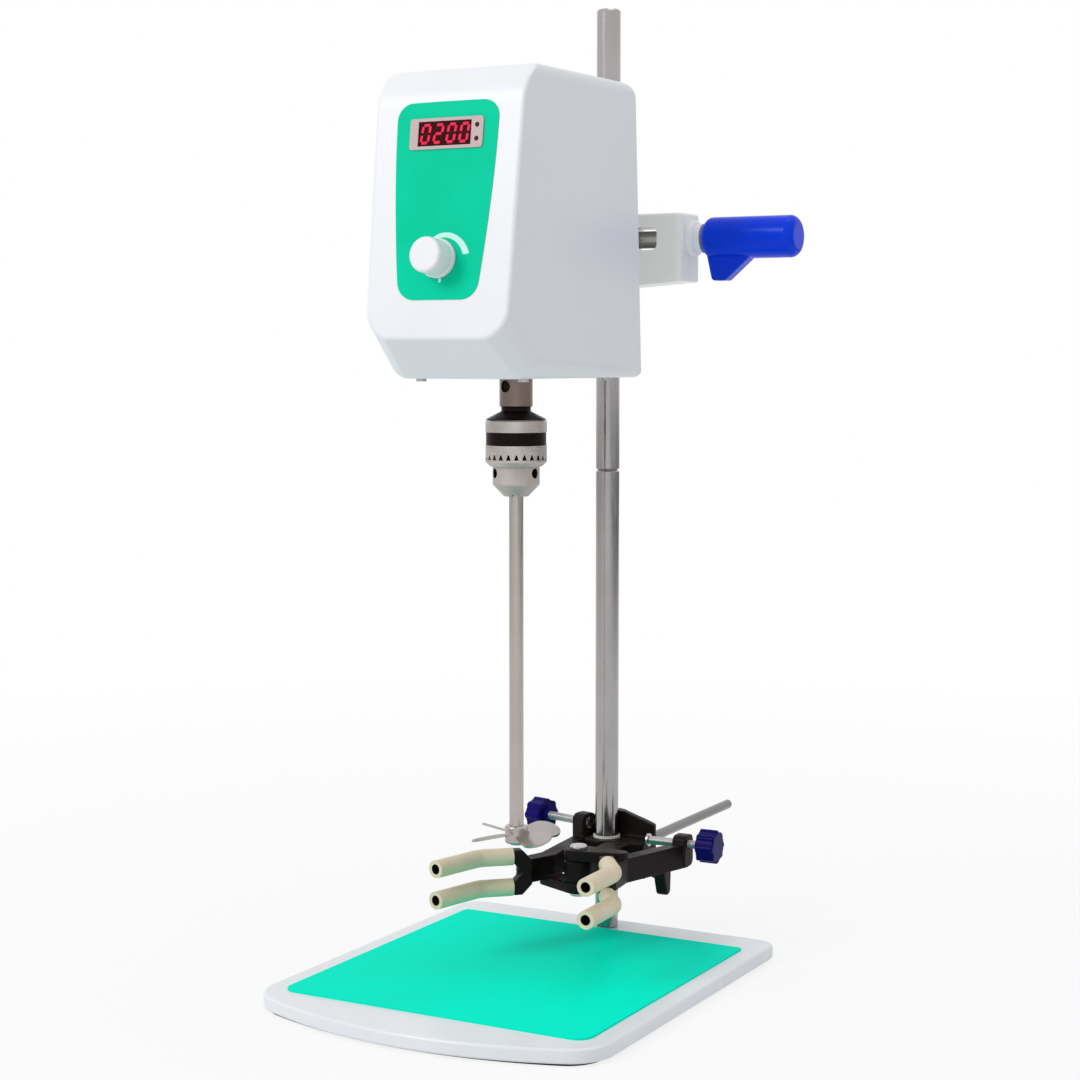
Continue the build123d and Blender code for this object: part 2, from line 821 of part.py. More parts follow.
def chuck_adapter():
    sleeve = rod(adapter_d / 2, adapter_bottom_z, adapter_top_z)
    sleeve = chamfer(sleeve.edges().filter_by(GeomType.CIRCLE), 0.5)
    sleeve -= rod(spindle_d / 2, adapter_bottom_z + 6, adapter_top_z + 1)
    hole = Pos(0, 0, adapter_hole_z) * Rot(0, 0, adapter_hole_angle) * Rot(0, 90, 0)
    sleeve -= hole * Pos(0, 0, adapter_d / 2) * Cylinder(adapter_hole_d / 2, adapter_d - spindle_d + 4)
    grub = hole * Pos(0, 0, spindle_d / 2 + 0.9) * Cylinder(adapter_hole_d / 2, 1.6)
    return sleeve + (grub - rod(spindle_d / 2, adapter_bottom_z, adapter_top_z))


def chuck_jaw_axis(angle):
    """Where one chuck jaw lies: its local Z runs up and outwards along the guide."""
    foot = Pos(chuck_jaw_foot_r, 0, chuck_jaw_foot_z)
    return Rot(0, 0, angle) * foot * Rot(0, chuck_jaw_lean, 0)


def chuck_jaw_angles():
    return [key_hole_angle + 60 + 120 * i for i in range(3)]


def chuck_body():
    """The chuck's core: neck, shoulder, straight barrel and nose, with sloping jaw guides."""
    r = chuck_body_d / 2
    shoulder_r = chuck_d / 2 - 0.4
    profile = Polyline(
        (0, adapter_bottom_z),
        (chuck_neck_d / 2, adapter_bottom_z),
        (chuck_neck_d / 2, chuck_top_z),
        (shoulder_r, chuck_shoulder_z + 0.6),
        (shoulder_r, chuck_shoulder_z + face_gap),
        (r, chuck_shoulder_z + face_gap),
        (r, chuck_nose_z),
        (chuck_mouth_d / 2, chuck_mouth_z),
        (0, chuck_mouth_z),
        close=True,
    )
    body = revolve(Plane.XZ * make_face(profile), Axis.Z)
    nose = body.edges().filter_by(GeomType.CIRCLE).group_by(Axis.Z)[1]
    body = fillet(nose, 1.5)
    body -= rod(chuck_bore_d / 2, chuck_mouth_z - 1, shaft_head_z)
    groove = rod(r + 1, nut_low_z - face_gap, nut_low_z + nut_h + face_gap)
    body -= groove - rod(nut_inner_r() - 0.8, nut_low_z - 1, nut_low_z + nut_h + 1)
    reach = chuck_jaw_l + chuck_jaw_travel + 1.0
    for angle in chuck_jaw_angles():
        guide = Pos(0, 0, reach / 2 - 5) * Cylinder(chuck_jaw_d / 2 + running, reach + 10)
        body -= chuck_jaw_axis(angle) * guide
        hole = Pos(0, 0, key_hole_z) * Rot(0, 0, angle - 60) * Rot(0, 90, 0)
        body -= hole * Pos(0, 0, r) * Cylinder(key_hole_d / 2, 8)
    return body


def nut_inner_r():
    """The nut clears the jaws where they lean out through its groove."""
    rise = nut_low_z + nut_h - chuck_jaw_foot_z
    jaw_r = chuck_jaw_foot_r + rise * tan(radians(chuck_jaw_lean))
    return jaw_r + chuck_jaw_d / 2 + 0.35


def chuck_nut():
    """The threaded ring of the chuck, split in two halves so that it goes into its groove."""
    ring = rod(chuck_body_d / 2 + running, nut_low_z, nut_low_z + nut_h)
    ring -= rod(nut_inner_r(), nut_low_z - 1, nut_low_z + nut_h + 1)
    return ring - block(-20, 20, -0.2, 0.2, nut_low_z - 1, nut_low_z + nut_h + 1)


def chuck_sleeve():
    """The turned sleeve: two bright lands, a recessed band, and bevel teeth for the key."""
    r = chuck_d / 2
    bore_r = chuck_body_d / 2 + running
    tooth_r = bore_r + 0.9
    profile = Polyline(
        (bore_r, chuck_sleeve_foot_z),
        (tooth_r + 0.4, chuck_sleeve_foot_z),
        (r, chuck_bevel_z),
        (r, chuck_band_low_z),
        (r - chuck_band_depth, chuck_band_low_z + 0.3),
        (r - chuck_band_depth, chuck_band_high_z - 0.3),
        (r, chuck_band_high_z),
        (r, chuck_shoulder_z - 0.5),
        (r - 0.5, chuck_shoulder_z),
        (bore_r, chuck_shoulder_z),
        close=True,
    )
    sleeve = revolve(Plane.XZ * make_face(profile), Axis.Z)
    gap = bevel_gap()
    for i in range(chuck_teeth):
        sleeve -= Rot(0, 0, 360 / chuck_teeth * i) * gap
    return sleeve


def bevel_gap():
    """The space between two bevel teeth: a vee that follows the sloping foot of the sleeve."""
    r = chuck_d / 2
    slope = degrees(atan2(chuck_bevel_z - chuck_sleeve_foot_z, r - chuck_body_d / 2 - 1.3))
    width = 2 * pi * r / chuck_teeth * 0.30
    vee = make_face(Polyline((-width, -0.6), (width, -0.6), (0.35, 1.5), (-0.35, 1.5), close=True))
    bar = extrude(Plane.YZ * vee, 12)
    return Pos(chuck_body_d / 2 - 2, 0, chuck_sleeve_foot_z - 0.9) * Rot(0, -slope, 0) * bar


def chuck_jaw(angle):
    """One gripping jaw: a round bar in its guide, cut flat where it meets the shaft."""
    bar = Pos(0, 0, chuck_jaw_l / 2) * Cylinder(chuck_jaw_d / 2, chuck_jaw_l)
    jaw = chuck_jaw_axis(angle) * bar
    flat = shaft_d / 2 + grip_gap
    away = Rot(0, 0, angle) * block(-10, flat, -10, 10, chuck_jaw_foot_z - 5, chuck_jaw_foot_z + 40)
    level = rod(30, chuck_jaw_foot_z - 10, chuck_jaw_foot_z)
    return jaw - away - level


def stir_shaft():
    bar = rod(shaft_d / 2, shaft_foot_z, shaft_head_z)
    return chamfer(bar.edges().filter_by(GeomType.CIRCLE), 0.6)


def propeller():
    """Four broad blades of shallow pitch on a small hub."""
    hub = rod(propeller_hub_d / 2, propeller_z - propeller_hub_h / 2, propeller_z + propeller_hub_h / 2)
    hub = fillet(hub.edges().filter_by(GeomType.CIRCLE), 1.2)
    tip_x = propeller_r - blade_tip_w / 2
    outline = tapered_bar(3.5, 0, blade_root_w / 2, tip_x, 0, blade_tip_w / 2)
    blade = Pos(0, 0, -blade_t / 2) * extrude(outline, blade_t)
    blade = Rot(blade_pitch, 0, 0) * blade
    wheel = hub
    for i in range(blade_count):
        wheel += Pos(0, 0, propeller_z) * Rot(0, 0, blade_angle + 360 / blade_count * i) * blade
    wheel -= rod(shaft_d / 2, propeller_z - 10, propeller_z + 10)
    screw = Pos(0, 0, propeller_z + 2.5) * Rot(0, 0, blade_angle + 45) * Rot(0, 90, 0)
    return wheel - screw * Pos(0, 0, propeller_hub_d / 2) * Cylinder(1.6, 4)


# Rear fittings


def mains_inlet(outer):
    """An appliance inlet: flanged body with its recess and three contact pins."""
    y = back_y(inlet_z)
    flange = block(inlet_x - 15.5, inlet_x + 15.5, y - 1, y + 2.6, inlet_z - 12, inlet_z + 12) - outer
    corners = flange.edges().filter_by(Axis.Y)
    flange = fillet(corners, 3)
    span = (inlet_x - inlet_w / 2 + seat, inlet_x + inlet_w / 2 - seat)
    tall = (inlet_z - inlet_h / 2 + seat, inlet_z + inlet_h / 2 - seat)
    body = flange + block(*span, y - inlet_depth, y + 0.5, *tall)
    body -= block(span[0] + 2, span[1] - 2, y - inlet_depth + 3, y + 5, tall[0] + 2, tall[1] - 2)
    for dx, dz in ((-7, -1.5), (7, -1.5), (0, 2.5)):
        body += block(inlet_x + dx - 1, inlet_x + dx + 1, y - inlet_depth + 2, y - 3, inlet_z + dz - 2, inlet_z + dz + 2)
    return body


def power_switch(outer):
    """The fixed frame of the rocker switch."""
    y = back_y(inlet_z)
    w, h = switch_w / 2, switch_h / 2
    flange = block(switch_x - w - 1.4, switch_x + w + 1.4, y - 1, y + 1.8, inlet_z - h - 1.4, inlet_z + h + 1.4)
    body = flange - outer
    low, high = inlet_z - h + seat, inlet_z + h - seat
    body += block(switch_x - w + seat, switch_x + w - seat, y - switch_depth, y + 0.5, low, high)
    body -= block(switch_x - w + 1.6, switch_x + w - 1.6, y - 8.5, y + 5, inlet_z - h + 1.6, inlet_z + h - 1.6)
    return body


def power_rocker():
    """The rocker: a shallow vee that tips about the level axis along Z."""
    y = back_y(inlet_z)
    w = switch_w / 2 - 2.7
    h = switch_h / 2 - 1.6 - face_gap
    outline = Polyline((-w, -0.2), (-w, 2.0), (0, 0.9), (w, 4.0), (w, -0.2), (0, -4.6), close=True)
    plan = Pos(switch_x, y) * make_face(outline)
    return raised(plan, inlet_z - h, inlet_z + h)


# Head bracket and lever


def head_bracket(outer):
    """The white bracket: bolting flange, arm, barrel round the column and windowed screw arm."""
    middle = (bracket_bottom_z + bracket_top_z) / 2
    flange = Plane(origin=(0, back_y(middle) - 4, 0), x_dir=(1, 0, 0), z_dir=(0, -1, 0))
    plate = extrude(flange * Pos(0, middle) * RectangleRounded(flange_w, flange_h, 7), -flange_t - 4)
    arm_plan = Pos(0, (head_back_top_y + column_y) / 2) * Rectangle(2 * arm_half_w, column_y - head_back_top_y)
    barrel_plan = Pos(*column_axis) * Circle(bracket_round_r)
    span = bracket_back_y - bracket_front_y
    side_plan = Pos(bracket_right_x / 2, (bracket_back_y + bracket_front_y) / 2) * Rectangle(bracket_right_x, span)
    body = raised(arm_plan + barrel_plan + side_plan, bracket_bottom_z, bracket_top_z)
    upright = body.edges().filter_by(Axis.Z).group_by(Axis.X)[-1]
    body = fillet(upright, 4)
    body -= foot_slope()
    rims = body.edges().group_by(Axis.Z)[-1]
    body = fillet(rims, bracket_edge_r)
    body = body + plate - outer
    body -= rod(housing_bore_r, bracket_bottom_z - 1, bracket_top_z + 1, *column_axis)
    low, high = lever_z - window_h / 2, lever_z + window_h / 2
    window = Pos((window_left_x + window_right_x) / 2, lever_z) * RectangleRounded(
        window_right_x - window_left_x, window_h, 3.4
    )
    plane = Plane(origin=(0, bracket_back_y + 1, 0), x_dir=(1, 0, 0), z_dir=(0, -1, 0))
    body -= extrude(plane * window, span + 2)
    body -= rod_x(lever_screw_d / 2 + running, 0, bracket_right_x + 1, column_y, lever_z)
    for x, z in bolt_places():
        body -= rod_y(2.1, head_back_top_y - 5, head_back_foot_y + 4, x, z)
    return body


def foot_slope():
    """The underside of the screw arm rises a little to its end."""
    rise = 3.0
    outline = Polyline(
        (bracket_round_r, bracket_bottom_z - 1),
        (bracket_right_x + 1, bracket_bottom_z - 1),
        (bracket_right_x + 1, bracket_bottom_z + rise),
        (bracket_round_r, bracket_bottom_z),
        close=True,
    )
    plane = Plane(origin=(0, bracket_back_y + 1, 0), x_dir=(1, 0, 0), z_dir=(0, -1, 0))
    return extrude(plane * make_face(outline), bracket_back_y - bracket_front_y + 2)


def bracket_bolts():
    """Cap screws from inside the head, through chassis and rear cover into the flange."""
    bolts = []
    for x, z in bolt_places():
        y = back_y(z) - wall - chassis_t - face_gap
        head = rod_y(3.6, y - 4.2, y, x, z)
        bolts.append(head + rod_y(2.0, y - 1, head_back_foot_y + 3, x, z))
    return Compound(children=[b.solids()[0] for b in bolts])


def pressure_pad():
    """The pad at the end of the lever screw, hollowed to the bush."""
    pad = rod_x(lever_screw_d / 2 - running, bush_r - 3, bush_r + pad_l, column_y, lever_z)
    return pad - rod(housing_bore_r, lever_z - 10, lever_z + 10, *column_axis)


def lever_collar():
    """The white collar that guides the lever screw: a dome and a short neck."""
    bore = lever_screw_d / 2 + running
    left = bracket_right_x
    dome = left + collar_dome_l
    lines = Polyline((left, bore), (left, collar_dome_r - 0.6))
    lines += ThreePointArc((left, collar_dome_r - 0.6), (left + 2.6, collar_dome_r), (dome, collar_r))
    lines += Polyline((dome, collar_r), (collar_end_x, collar_r), (collar_end_x, bore), (left, bore))
    solid = revolve(make_face(lines), Axis.X)
    return Pos(0, column_y, lever_z) * solid


def lever_screw():
    left = bush_r + pad_l + 0.1
    bar = rod_x(lever_screw_d / 2, left, handle_left_x + 16, column_y, lever_z)
    return chamfer(bar.edges().filter_by(GeomType.CIRCLE), 1.0)


def lever_handle():
    """The blue grip: a round-ended bar with a flat wing below its inner end."""
    bar = rod_x(handle_r, handle_left_x, handle_right_x, column_y, lever_z)
    bar = fillet(bar.edges().filter_by(GeomType.CIRCLE), handle_end_r)
    outline = Polyline(
        (handle_left_x + 0.6, lever_z - 4),
        (handle_left_x + 5.2, lever_z - wing_drop),
        (handle_left_x + 13.5, lever_z - wing_drop),
        (handle_left_x + 29, lever_z - handle_r + 1),
        (handle_left_x + 32, lever_z - 4),
        close=True,
    )
    face = make_face(outline)
    tips = face.vertices().group_by(Axis.Y)[0]
    face = fillet(tips, 2.6)
    plane = Plane(origin=(0, column_y + wing_t / 2, 0), x_dir=(1, 0, 0), z_dir=(0, -1, 0))
    blade = extrude(plane * face, wing_t)
    rims = blade.edges().filter_by(Plane.XZ).filter_by_position(Axis.Z, lever_z - wing_drop - 1, lever_z - 8)
    blade = fillet(rims, 1.2)
    return bar + blade - rod_x(lever_screw_d / 2, handle_left_x - 1, handle_left_x + 16, column_y, lever_z)


# Vessel clamp


def clamp_boss():
    """The black casting: barrel round the column, stem block, and a forward arm with the pivot."""
    plan = Pos(*column_axis) * Circle(boss_r)
    side_y0, side_y1 = column_y - boss_half_w, column_y + boss_half_w
    plan += Pos(boss_right_x / 2, column_y) * Rectangle(boss_right_x, side_y1 - side_y0)
    body = raised(plan, boss_low_z, boss_top_z)
    slope = Polyline(
        (column_r + 1, boss_top_z + 1),
        (column_r + 1, boss_top_z),
        (boss_right_x + 1, boss_top_z - 7),
        (boss_right_x + 1, boss_top_z + 1),
        close=True,
    )
    plane = Plane(origin=(0, side_y1 + 1, 0), x_dir=(1, 0, 0), z_dir=(0, -1, 0))
    body -= extrude(plane * make_face(slope), side_y1 - side_y0 + 2)
    under = make_face(Polyline((19, boss_low_z - 1), (31, boss_low_z - 1), (31, 62), close=True))
    body -= extrude(plane * under, side_y1 - side_y0 + 2)
    upright = body.edges().filter_by(Axis.Z).group_by(Axis.X)[-1]
    body = fillet(upright, 3)
    body -= block(-30, boss_left_x, side_y0 - 9, side_y1 + 9, boss_low_z - 1, boss_top_z + 1)
    low, high = clamp_z - boss_arm_t / 2, clamp_z + boss_arm_t / 2
    arm = raised(tapered_bar(stem_x, side_y0 + 2, boss_arm_w / 2 + 2, stem_x, pivot_y, boss_arm_w / 2), low, high)
    hub = rod(hub_r, low, high, stem_x, pivot_y)
    body += arm + hub
    body += rod_x(6.5, 8, 26, column_y, boss_screw_z)
    body -= rod(housing_bore_r, boss_low_z - 1, boss_top_z + 1, *column_axis)
    body -= rod_y(stem_spigot_d / 2, pivot_y + hub_r + 1, column_y + 30, stem_x, clamp_z)
    body -= rod_x(boss_screw_d / 2 + running, 0, boss_right_x + 2, column_y, boss_screw_z)
    return body - rod(pivot_d / 2 + running, low - 1, high + 1, stem_x, pivot_y)


def clamp_stem():
    shoulder = column_y + boss_half_w
    bar = rod_y(stem_d / 2, shoulder, stem_tip_y, stem_x, clamp_z)
    bar = chamfer(bar.edges().filter_by(GeomType.CIRCLE).sort_by(Axis.Y)[-1], 0.8)
    return bar + rod_y(stem_spigot_d / 2, pivot_y + hub_r + 1, shoulder, stem_x, clamp_z)


def hub_levels(side):
    """The left jaw's hub lies under the boss arm and the right jaw's on top of it."""
    low, high = clamp_z - boss_arm_t / 2, clamp_z + boss_arm_t / 2
    if side < 0:
        return low - face_gap - hub_t, low - face_gap
    return high + face_gap, high + face_gap + hub_t


def pivot_pin():
    low = hub_levels(-1)[0] - face_gap
    high = hub_levels(1)[1] + face_gap
    pin = rod(pivot_d / 2, low, high, stem_x, pivot_y)
    pin += rod(5, low - 1.8, low, stem_x, pivot_y)
    head = rod(5, high, high + 1.8, stem_x, pivot_y)
    return pin + fillet(head.edges().group_by(Axis.Z)[-1], 0.9)


def boss_screw():
    left = bush_r + 0.15
    bar = rod_x(boss_screw_d / 2, left, boss_screw_end_x + 4, column_y, boss_screw_z)
    return chamfer(bar.edges().filter_by(GeomType.CIRCLE), 0.6)


def boss_wing():
    """The hooked black wing on the boss screw."""
    z = boss_screw_z
    outline = tapered_bar(column_y, z, 5.5, column_y + 1.5, z - 11.5, 3.4)
    outline += tapered_bar(column_y, z, 5.5, column_y - 1.5, z + 5, 4.2)
    hook = extrude(Plane.YZ.offset(hook_x) * outline, hook_t)
    hook = fillet(hook.edges().group_by(Axis.X)[-1], 1.4)
    collar = rod_x(5.0, hook_x - 2.5, hook_x + 1, column_y, z)
    return hook + collar - rod_x(boss_screw_d / 2, hook_x - 4, boss_screw_end_x + 4, column_y, z)


def finger_path(tip_l):
    """One finger's centre line in the jaw's own frame: out of the fork, then straight ahead."""
    bend = radians(finger_bend)
    x1 = fork_out + finger_root_l * sin(bend)
    y1 = -fork_front - finger_root_l * cos(bend)
    start_x = fork_out - 3 * sin(bend)
    start_y = -fork_front + 3 * cos(bend)
    return FilletPolyline((start_x, start_y, 0), (x1, y1, 0), (x1, y1 - tip_l, 0), radius=finger_bend_r)


def finger_bar(radius, tip_l):
    path = finger_path(tip_l)
    return sweep(Plane(origin=path @ 0, z_dir=path % 0) * Circle(radius), path=path)


def jaw_in_place(solid, side):
    """Carry a jaw-frame solid to its side, splay and height."""
    splay = right_splay if side > 0 else left_splay
    rise = right_rise if side > 0 else left_rise
    turned = Rot(0, 0, splay) * Pos(0, 0, clamp_z + rise) * solid
    if side < 0:
        turned = mirror(turned, Plane.YZ)
    return Pos(stem_x, pivot_y, 0) * turned


def jaw_frame(side):
    """Hub levels as seen from the jaw's own frame."""
    rise = right_rise if side > 0 else left_rise
    low, high = hub_levels(side)
    return low - clamp_z - rise, high - clamp_z - rise


def clamp_jaw(side):
    """One cast jaw: hub, web, rear lug for the thumbscrew, and a fork with two finger cores."""
    hub_low, hub_high = jaw_frame(side)
    half = web_h / 2
    elbow = (25.0, 2.0)
    plan = tapered_bar(*elbow, web_w / 2 + 1, fork_out, -fork_front + 4, web_w / 2 + 0.5)
    plan += tapered_bar(*elbow, web_w / 2 + 1, lug_out, lug_back - 3, web_w / 2)
    body = raised(plan, -half, half)
    bridge = tapered_bar(0, 0, hub_r, *elbow, web_w / 2 + 1)
    body += raised(bridge, hub_low, hub_high)
    inner_low, inner_high = min(hub_low, -half), max(hub_high, half)
    body += raised(Pos(*elbow) * Circle(web_w / 2 + 1), inner_low, inner_high)
    body += fork()
    lug_top = lug_axis_z(side) + 5.5
    lug = block(lug_out - lug_t / 2, lug_out + lug_t / 2, lug_back - lug_w / 2, lug_back + lug_w / 2, -half, lug_top)
    lug = fillet(lug.edges().filter_by(Axis.X), 4)
    body += lug
    levels = sorted((jaw_other_levels(side)))
    body -= raised(Circle(hub_r + 2.0), levels[0], levels[1])
    body -= rod(pivot_d / 2 + running, -40, 40)
    screw = thumb_screw_d / 2 + running
    body -= rod_x(screw, lug_out - 12, lug_out + 12, lug_back, lug_axis_z(side))
    face = lug_out - lug_t / 2
    body -= rod_x(foot_d / 2 + seat, face - 6, face + foot_recess, lug_back, lug_axis_z(side))
    return jaw_in_place(body, side)


def jaw_other_levels(side):
    """The span of height that belongs to the boss arm and the other jaw's hub."""
    rise = right_rise if side > 0 else left_rise
    low, high = hub_levels(side)
    if side < 0:
        return high - clamp_z - rise, 40.0
    return -40.0, low - clamp_z - rise


def lug_axis_z(side):
    """The thumbscrew's height in its jaw's own frame."""
    return right_screw_z if side > 0 else left_screw_z


def fork():
    """The upright fork that carries the two finger cores, notched between them."""
    bend = radians(finger_bend)
    half = finger_pitch / 2
    place = Plane(
        origin=(fork_out, -fork_front, 0),
        x_dir=(sin(bend), -cos(bend), 0),
        z_dir=(cos(bend), sin(bend), 0),
    )
    outline = Polyline(
        (-7, -half + 2), (-1, -half - 4.2), (4, -half - 4.2), (4, -half + 3.4),
        (-1.5, 0),
        (4, half - 3.4), (4, half + 4.2), (-1, half + 4.2), (-7, half - 2),
        close=True,
    )
    plate = extrude(place * make_face(outline), web_w / 2, both=True)
    cores = [Pos(0, 0, s * half) * finger_bar(core_d / 2, finger_tip_l - core_short) for s in (-1, 1)]
    return plate + cores[0] + cores[1]


def finger_sleeves(side):
    """Two rubber sleeves drawn over the finger cores, open at the tip."""
    sleeves = []
    bend = radians(finger_bend)
    back = Pos(fork_out, -fork_front, 0) * Rot(0, 0, finger_bend) * block(-20, 20, -4.05, 20, -20, 20)
    for s in (-1, 1):
        tube = finger_bar(sleeve_d / 2, finger_tip_l) - back
        tube -= finger_bar(core_d / 2, finger_tip_l + 1)
        sleeves.append(jaw_in_place(Pos(0, 0, s * finger_pitch / 2) * tube, side))
    return Compound(children=[one.solids()[0] for one in sleeves])


def thumb_tip(side):
    """How far out in the jaw's frame the thumbscrew's foot meets the boss."""
    reach = boss_right_x - stem_x if side > 0 else stem_x - boss_left_x
    splay = radians(right_splay if side > 0 else left_splay)
    return (reach + thumb_gap + foot_dome_r + lug_back * sin(splay)) / cos(splay) - foot_dome_r


def thumb_foot(side):
    """The swivel foot: a small disc with a domed face towards the boss."""
    r = foot_d / 2
    drop = foot_dome_r - sqrt(foot_dome_r**2 - r**2)
    half_drop = foot_dome_r - sqrt(foot_dome_r**2 - (r / 2) ** 2)
    lines = ThreePointArc((0, 0), (half_drop, r / 2), (drop, r))
    lines += Polyline((drop, r), (foot_t, r), (foot_t, 0), (0, 0))
    disc = revolve(make_face(lines), Axis.X)
    foot = Pos(thumb_tip(side), lug_back, lug_axis_z(side)) * disc
    return jaw_in_place(foot, side)


def thumbscrew(side):
    """A steel screw with a lobed plastic knob."""
    left = thumb_tip(side) + foot_t + 0.1
    right = left + thumb_screw_l
    z = lug_axis_z(side)
    screw = rod_x(thumb_screw_d / 2, left, right + 2, lug_back, z)
    return jaw_in_place(screw + thumb_knob(right, z), side)


def thumb_knob(left, z):
    plan = Circle(thumb_knob_d / 2 - 1.0)
    for i in range(thumb_lobes):
        plan += Rot(0, 0, 360 / thumb_lobes * i) * Pos(thumb_knob_d / 2 - 2.6, 0) * Circle(2.6)
    knob = extrude(plan, thumb_knob_t)
    rims = knob.edges().group_by(Axis.Z)
    knob = chamfer(rims[-1], 0.9)
    knob += Pos(0, 0, -1) * Cylinder(5, 2)
    return Pos(left, lug_back, z) * Rot(0, 90, 0) * knob


def build():
    os.makedirs("parts", exist_ok=True)
    outer = outer_head()
    inner = head_form(wall)
    inner_face = head_form(wall + chassis_t)

    write("base_plate", base_plate())
    write("base_liner", base_liner())
    write("work_mat", work_mat())
    write("column_lower", column_lower())
    write("column_upper", column_upper())
    write("column_stud", column_stud())
    write("foot_screw", foot_screw())

    write("column_bush", split_bush(bracket_bottom_z - bush_flange_h - face_gap, bracket_top_z + 2))
    write("housing_shell", housing_shell(outer, inner))
    write("bottom_plate", bottom_plate(outer, inner))
    write("rear_cover", rear_cover(outer, inner))
    write("cover_screws", cover_screws())
    write("front_panel", front_panel())
    write("display_bezel", display_bezel())
    write("display_window", display_window())
    write("indicator_leds", indicator_leds())
    write("control_board", control_board())
    write("potentiometer", potentiometer())
    write("speed_knob", speed_knob())
    write("chassis", chassis(inner, inner_face))
    write("motor_plate", motor_plate())
    write("motor_can", motor_can())
    write("motor_pinion", motor_pinion())
    write("spindle_gear", spindle_gear())
    write("spindle_bearings", spindle_bearings())
    write("bearing_housing", bearing_housing())
    write("mains_inlet", mains_inlet(outer))
    write("power_switch", power_switch(outer))
    write("power_rocker", power_rocker())
    write("head_bracket", head_bracket(outer))
    write("bracket_bolts", bracket_bolts())
    write("pressure_pad", pressure_pad())
    write("lever_collar", lever_collar())
    write("lever_screw", lever_screw())
    write("lever_handle", lever_handle())

    write("spindle_shaft", spindle_shaft())
    write("chuck_adapter", chuck_adapter())
    write("chuck_body", chuck_body())
    write("chuck_sleeve", chuck_sleeve())
    write("chuck_nut", chuck_nut())
    for number, angle in enumerate(chuck_jaw_angles(), 1):
        write(f"chuck_jaw_{number}", chuck_jaw(angle))
    write("stir_shaft", stir_shaft())
    write("propeller", propeller())

    write("clamp_bush", split_bush(boss_low_z - bush_flange_h - face_gap, boss_top_z + 2))
    write("clamp_boss", clamp_boss())
    write("clamp_stem", clamp_stem())
    write("pivot_pin", pivot_pin())
    write("boss_screw", boss_screw())
    write("boss_wing", boss_wing())
    for name, side in (("left", -1), ("right", 1)):
        write(f"clamp_jaw_{name}", clamp_jaw(side))
        write(f"finger_sleeves_{name}", finger_sleeves(side))
        write(f"thumb_foot_{name}", thumb_foot(side))
        write(f"thumbscrew_{name}", thumbscrew(side))


build()
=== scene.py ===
# %% [markdown]
# # An overhead laboratory stirrer
# This lesson dresses a finished engineering model. The frame brings in every solid at its real size. Each
# later step either gives a solid a finish, or models a piece that replaces it, and says which body the piece
# moves with.

# %% Load the frame
from math import cos, pi, radians, sin

import bmesh
import bpy
from mathutils import Matrix, Vector


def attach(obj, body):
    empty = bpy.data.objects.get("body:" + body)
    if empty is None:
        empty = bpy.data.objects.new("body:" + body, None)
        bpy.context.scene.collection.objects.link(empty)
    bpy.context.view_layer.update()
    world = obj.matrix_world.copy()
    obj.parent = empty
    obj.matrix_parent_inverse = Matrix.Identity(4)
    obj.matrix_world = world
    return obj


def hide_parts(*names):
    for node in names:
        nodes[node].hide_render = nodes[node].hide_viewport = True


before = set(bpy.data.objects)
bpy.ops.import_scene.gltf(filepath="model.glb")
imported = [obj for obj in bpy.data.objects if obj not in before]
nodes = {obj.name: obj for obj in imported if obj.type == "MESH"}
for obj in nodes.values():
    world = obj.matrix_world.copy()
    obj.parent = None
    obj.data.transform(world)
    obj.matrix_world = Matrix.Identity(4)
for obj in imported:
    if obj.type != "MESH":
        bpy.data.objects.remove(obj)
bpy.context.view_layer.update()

bpy.ops.object.select_all(action="DESELECT")

# %% [markdown]
# ## Camera
# The photograph looks at the stirrer from its front right, a little from above, with a long
# lens. The place and lens were worked out from the column, the shaft and the chuck, whose
# sizes are known. Making the camera first means that every piece can be judged in its view.

# %% Camera
MM = 0.001
camera_turn = radians(28.87)
camera_drop = radians(4.936)
camera_place = Vector((0.59819, -1.05765, 0.35824))

forward = Vector((
    -sin(camera_turn) * cos(camera_drop),
    cos(camera_turn) * cos(camera_drop),
    -sin(camera_drop),
))
rightward = Vector((cos(camera_turn), sin(camera_turn), 0.0))
upward = rightward.cross(forward)
camera_data = bpy.data.cameras.new("camera")
camera_data.sensor_fit = "HORIZONTAL"
camera_data.sensor_width = 36.0
camera_data.lens = 73.33
camera = bpy.data.objects.new("camera", camera_data)
bpy.context.collection.objects.link(camera)
camera.matrix_world = Matrix((
    (rightward.x, upward.x, -forward.x, camera_place.x),
    (rightward.y, upward.y, -forward.y, camera_place.y),
    (rightward.z, upward.z, -forward.z, camera_place.z),
    (0, 0, 0, 1),
))
bpy.context.scene.camera = camera
print("camera at", tuple(round(v, 3) for v in camera_place))

# %% [markdown]
# ## Writing materials as sums
# A material is a network of nodes. Wiring each one by hand is slow to read, so one small class
# wraps a socket: adding or multiplying two wires adds the Math node that does it, and `make`
# adds any other node from its type, its settings and what goes into its sockets.

# %% A socket that sums can be written with


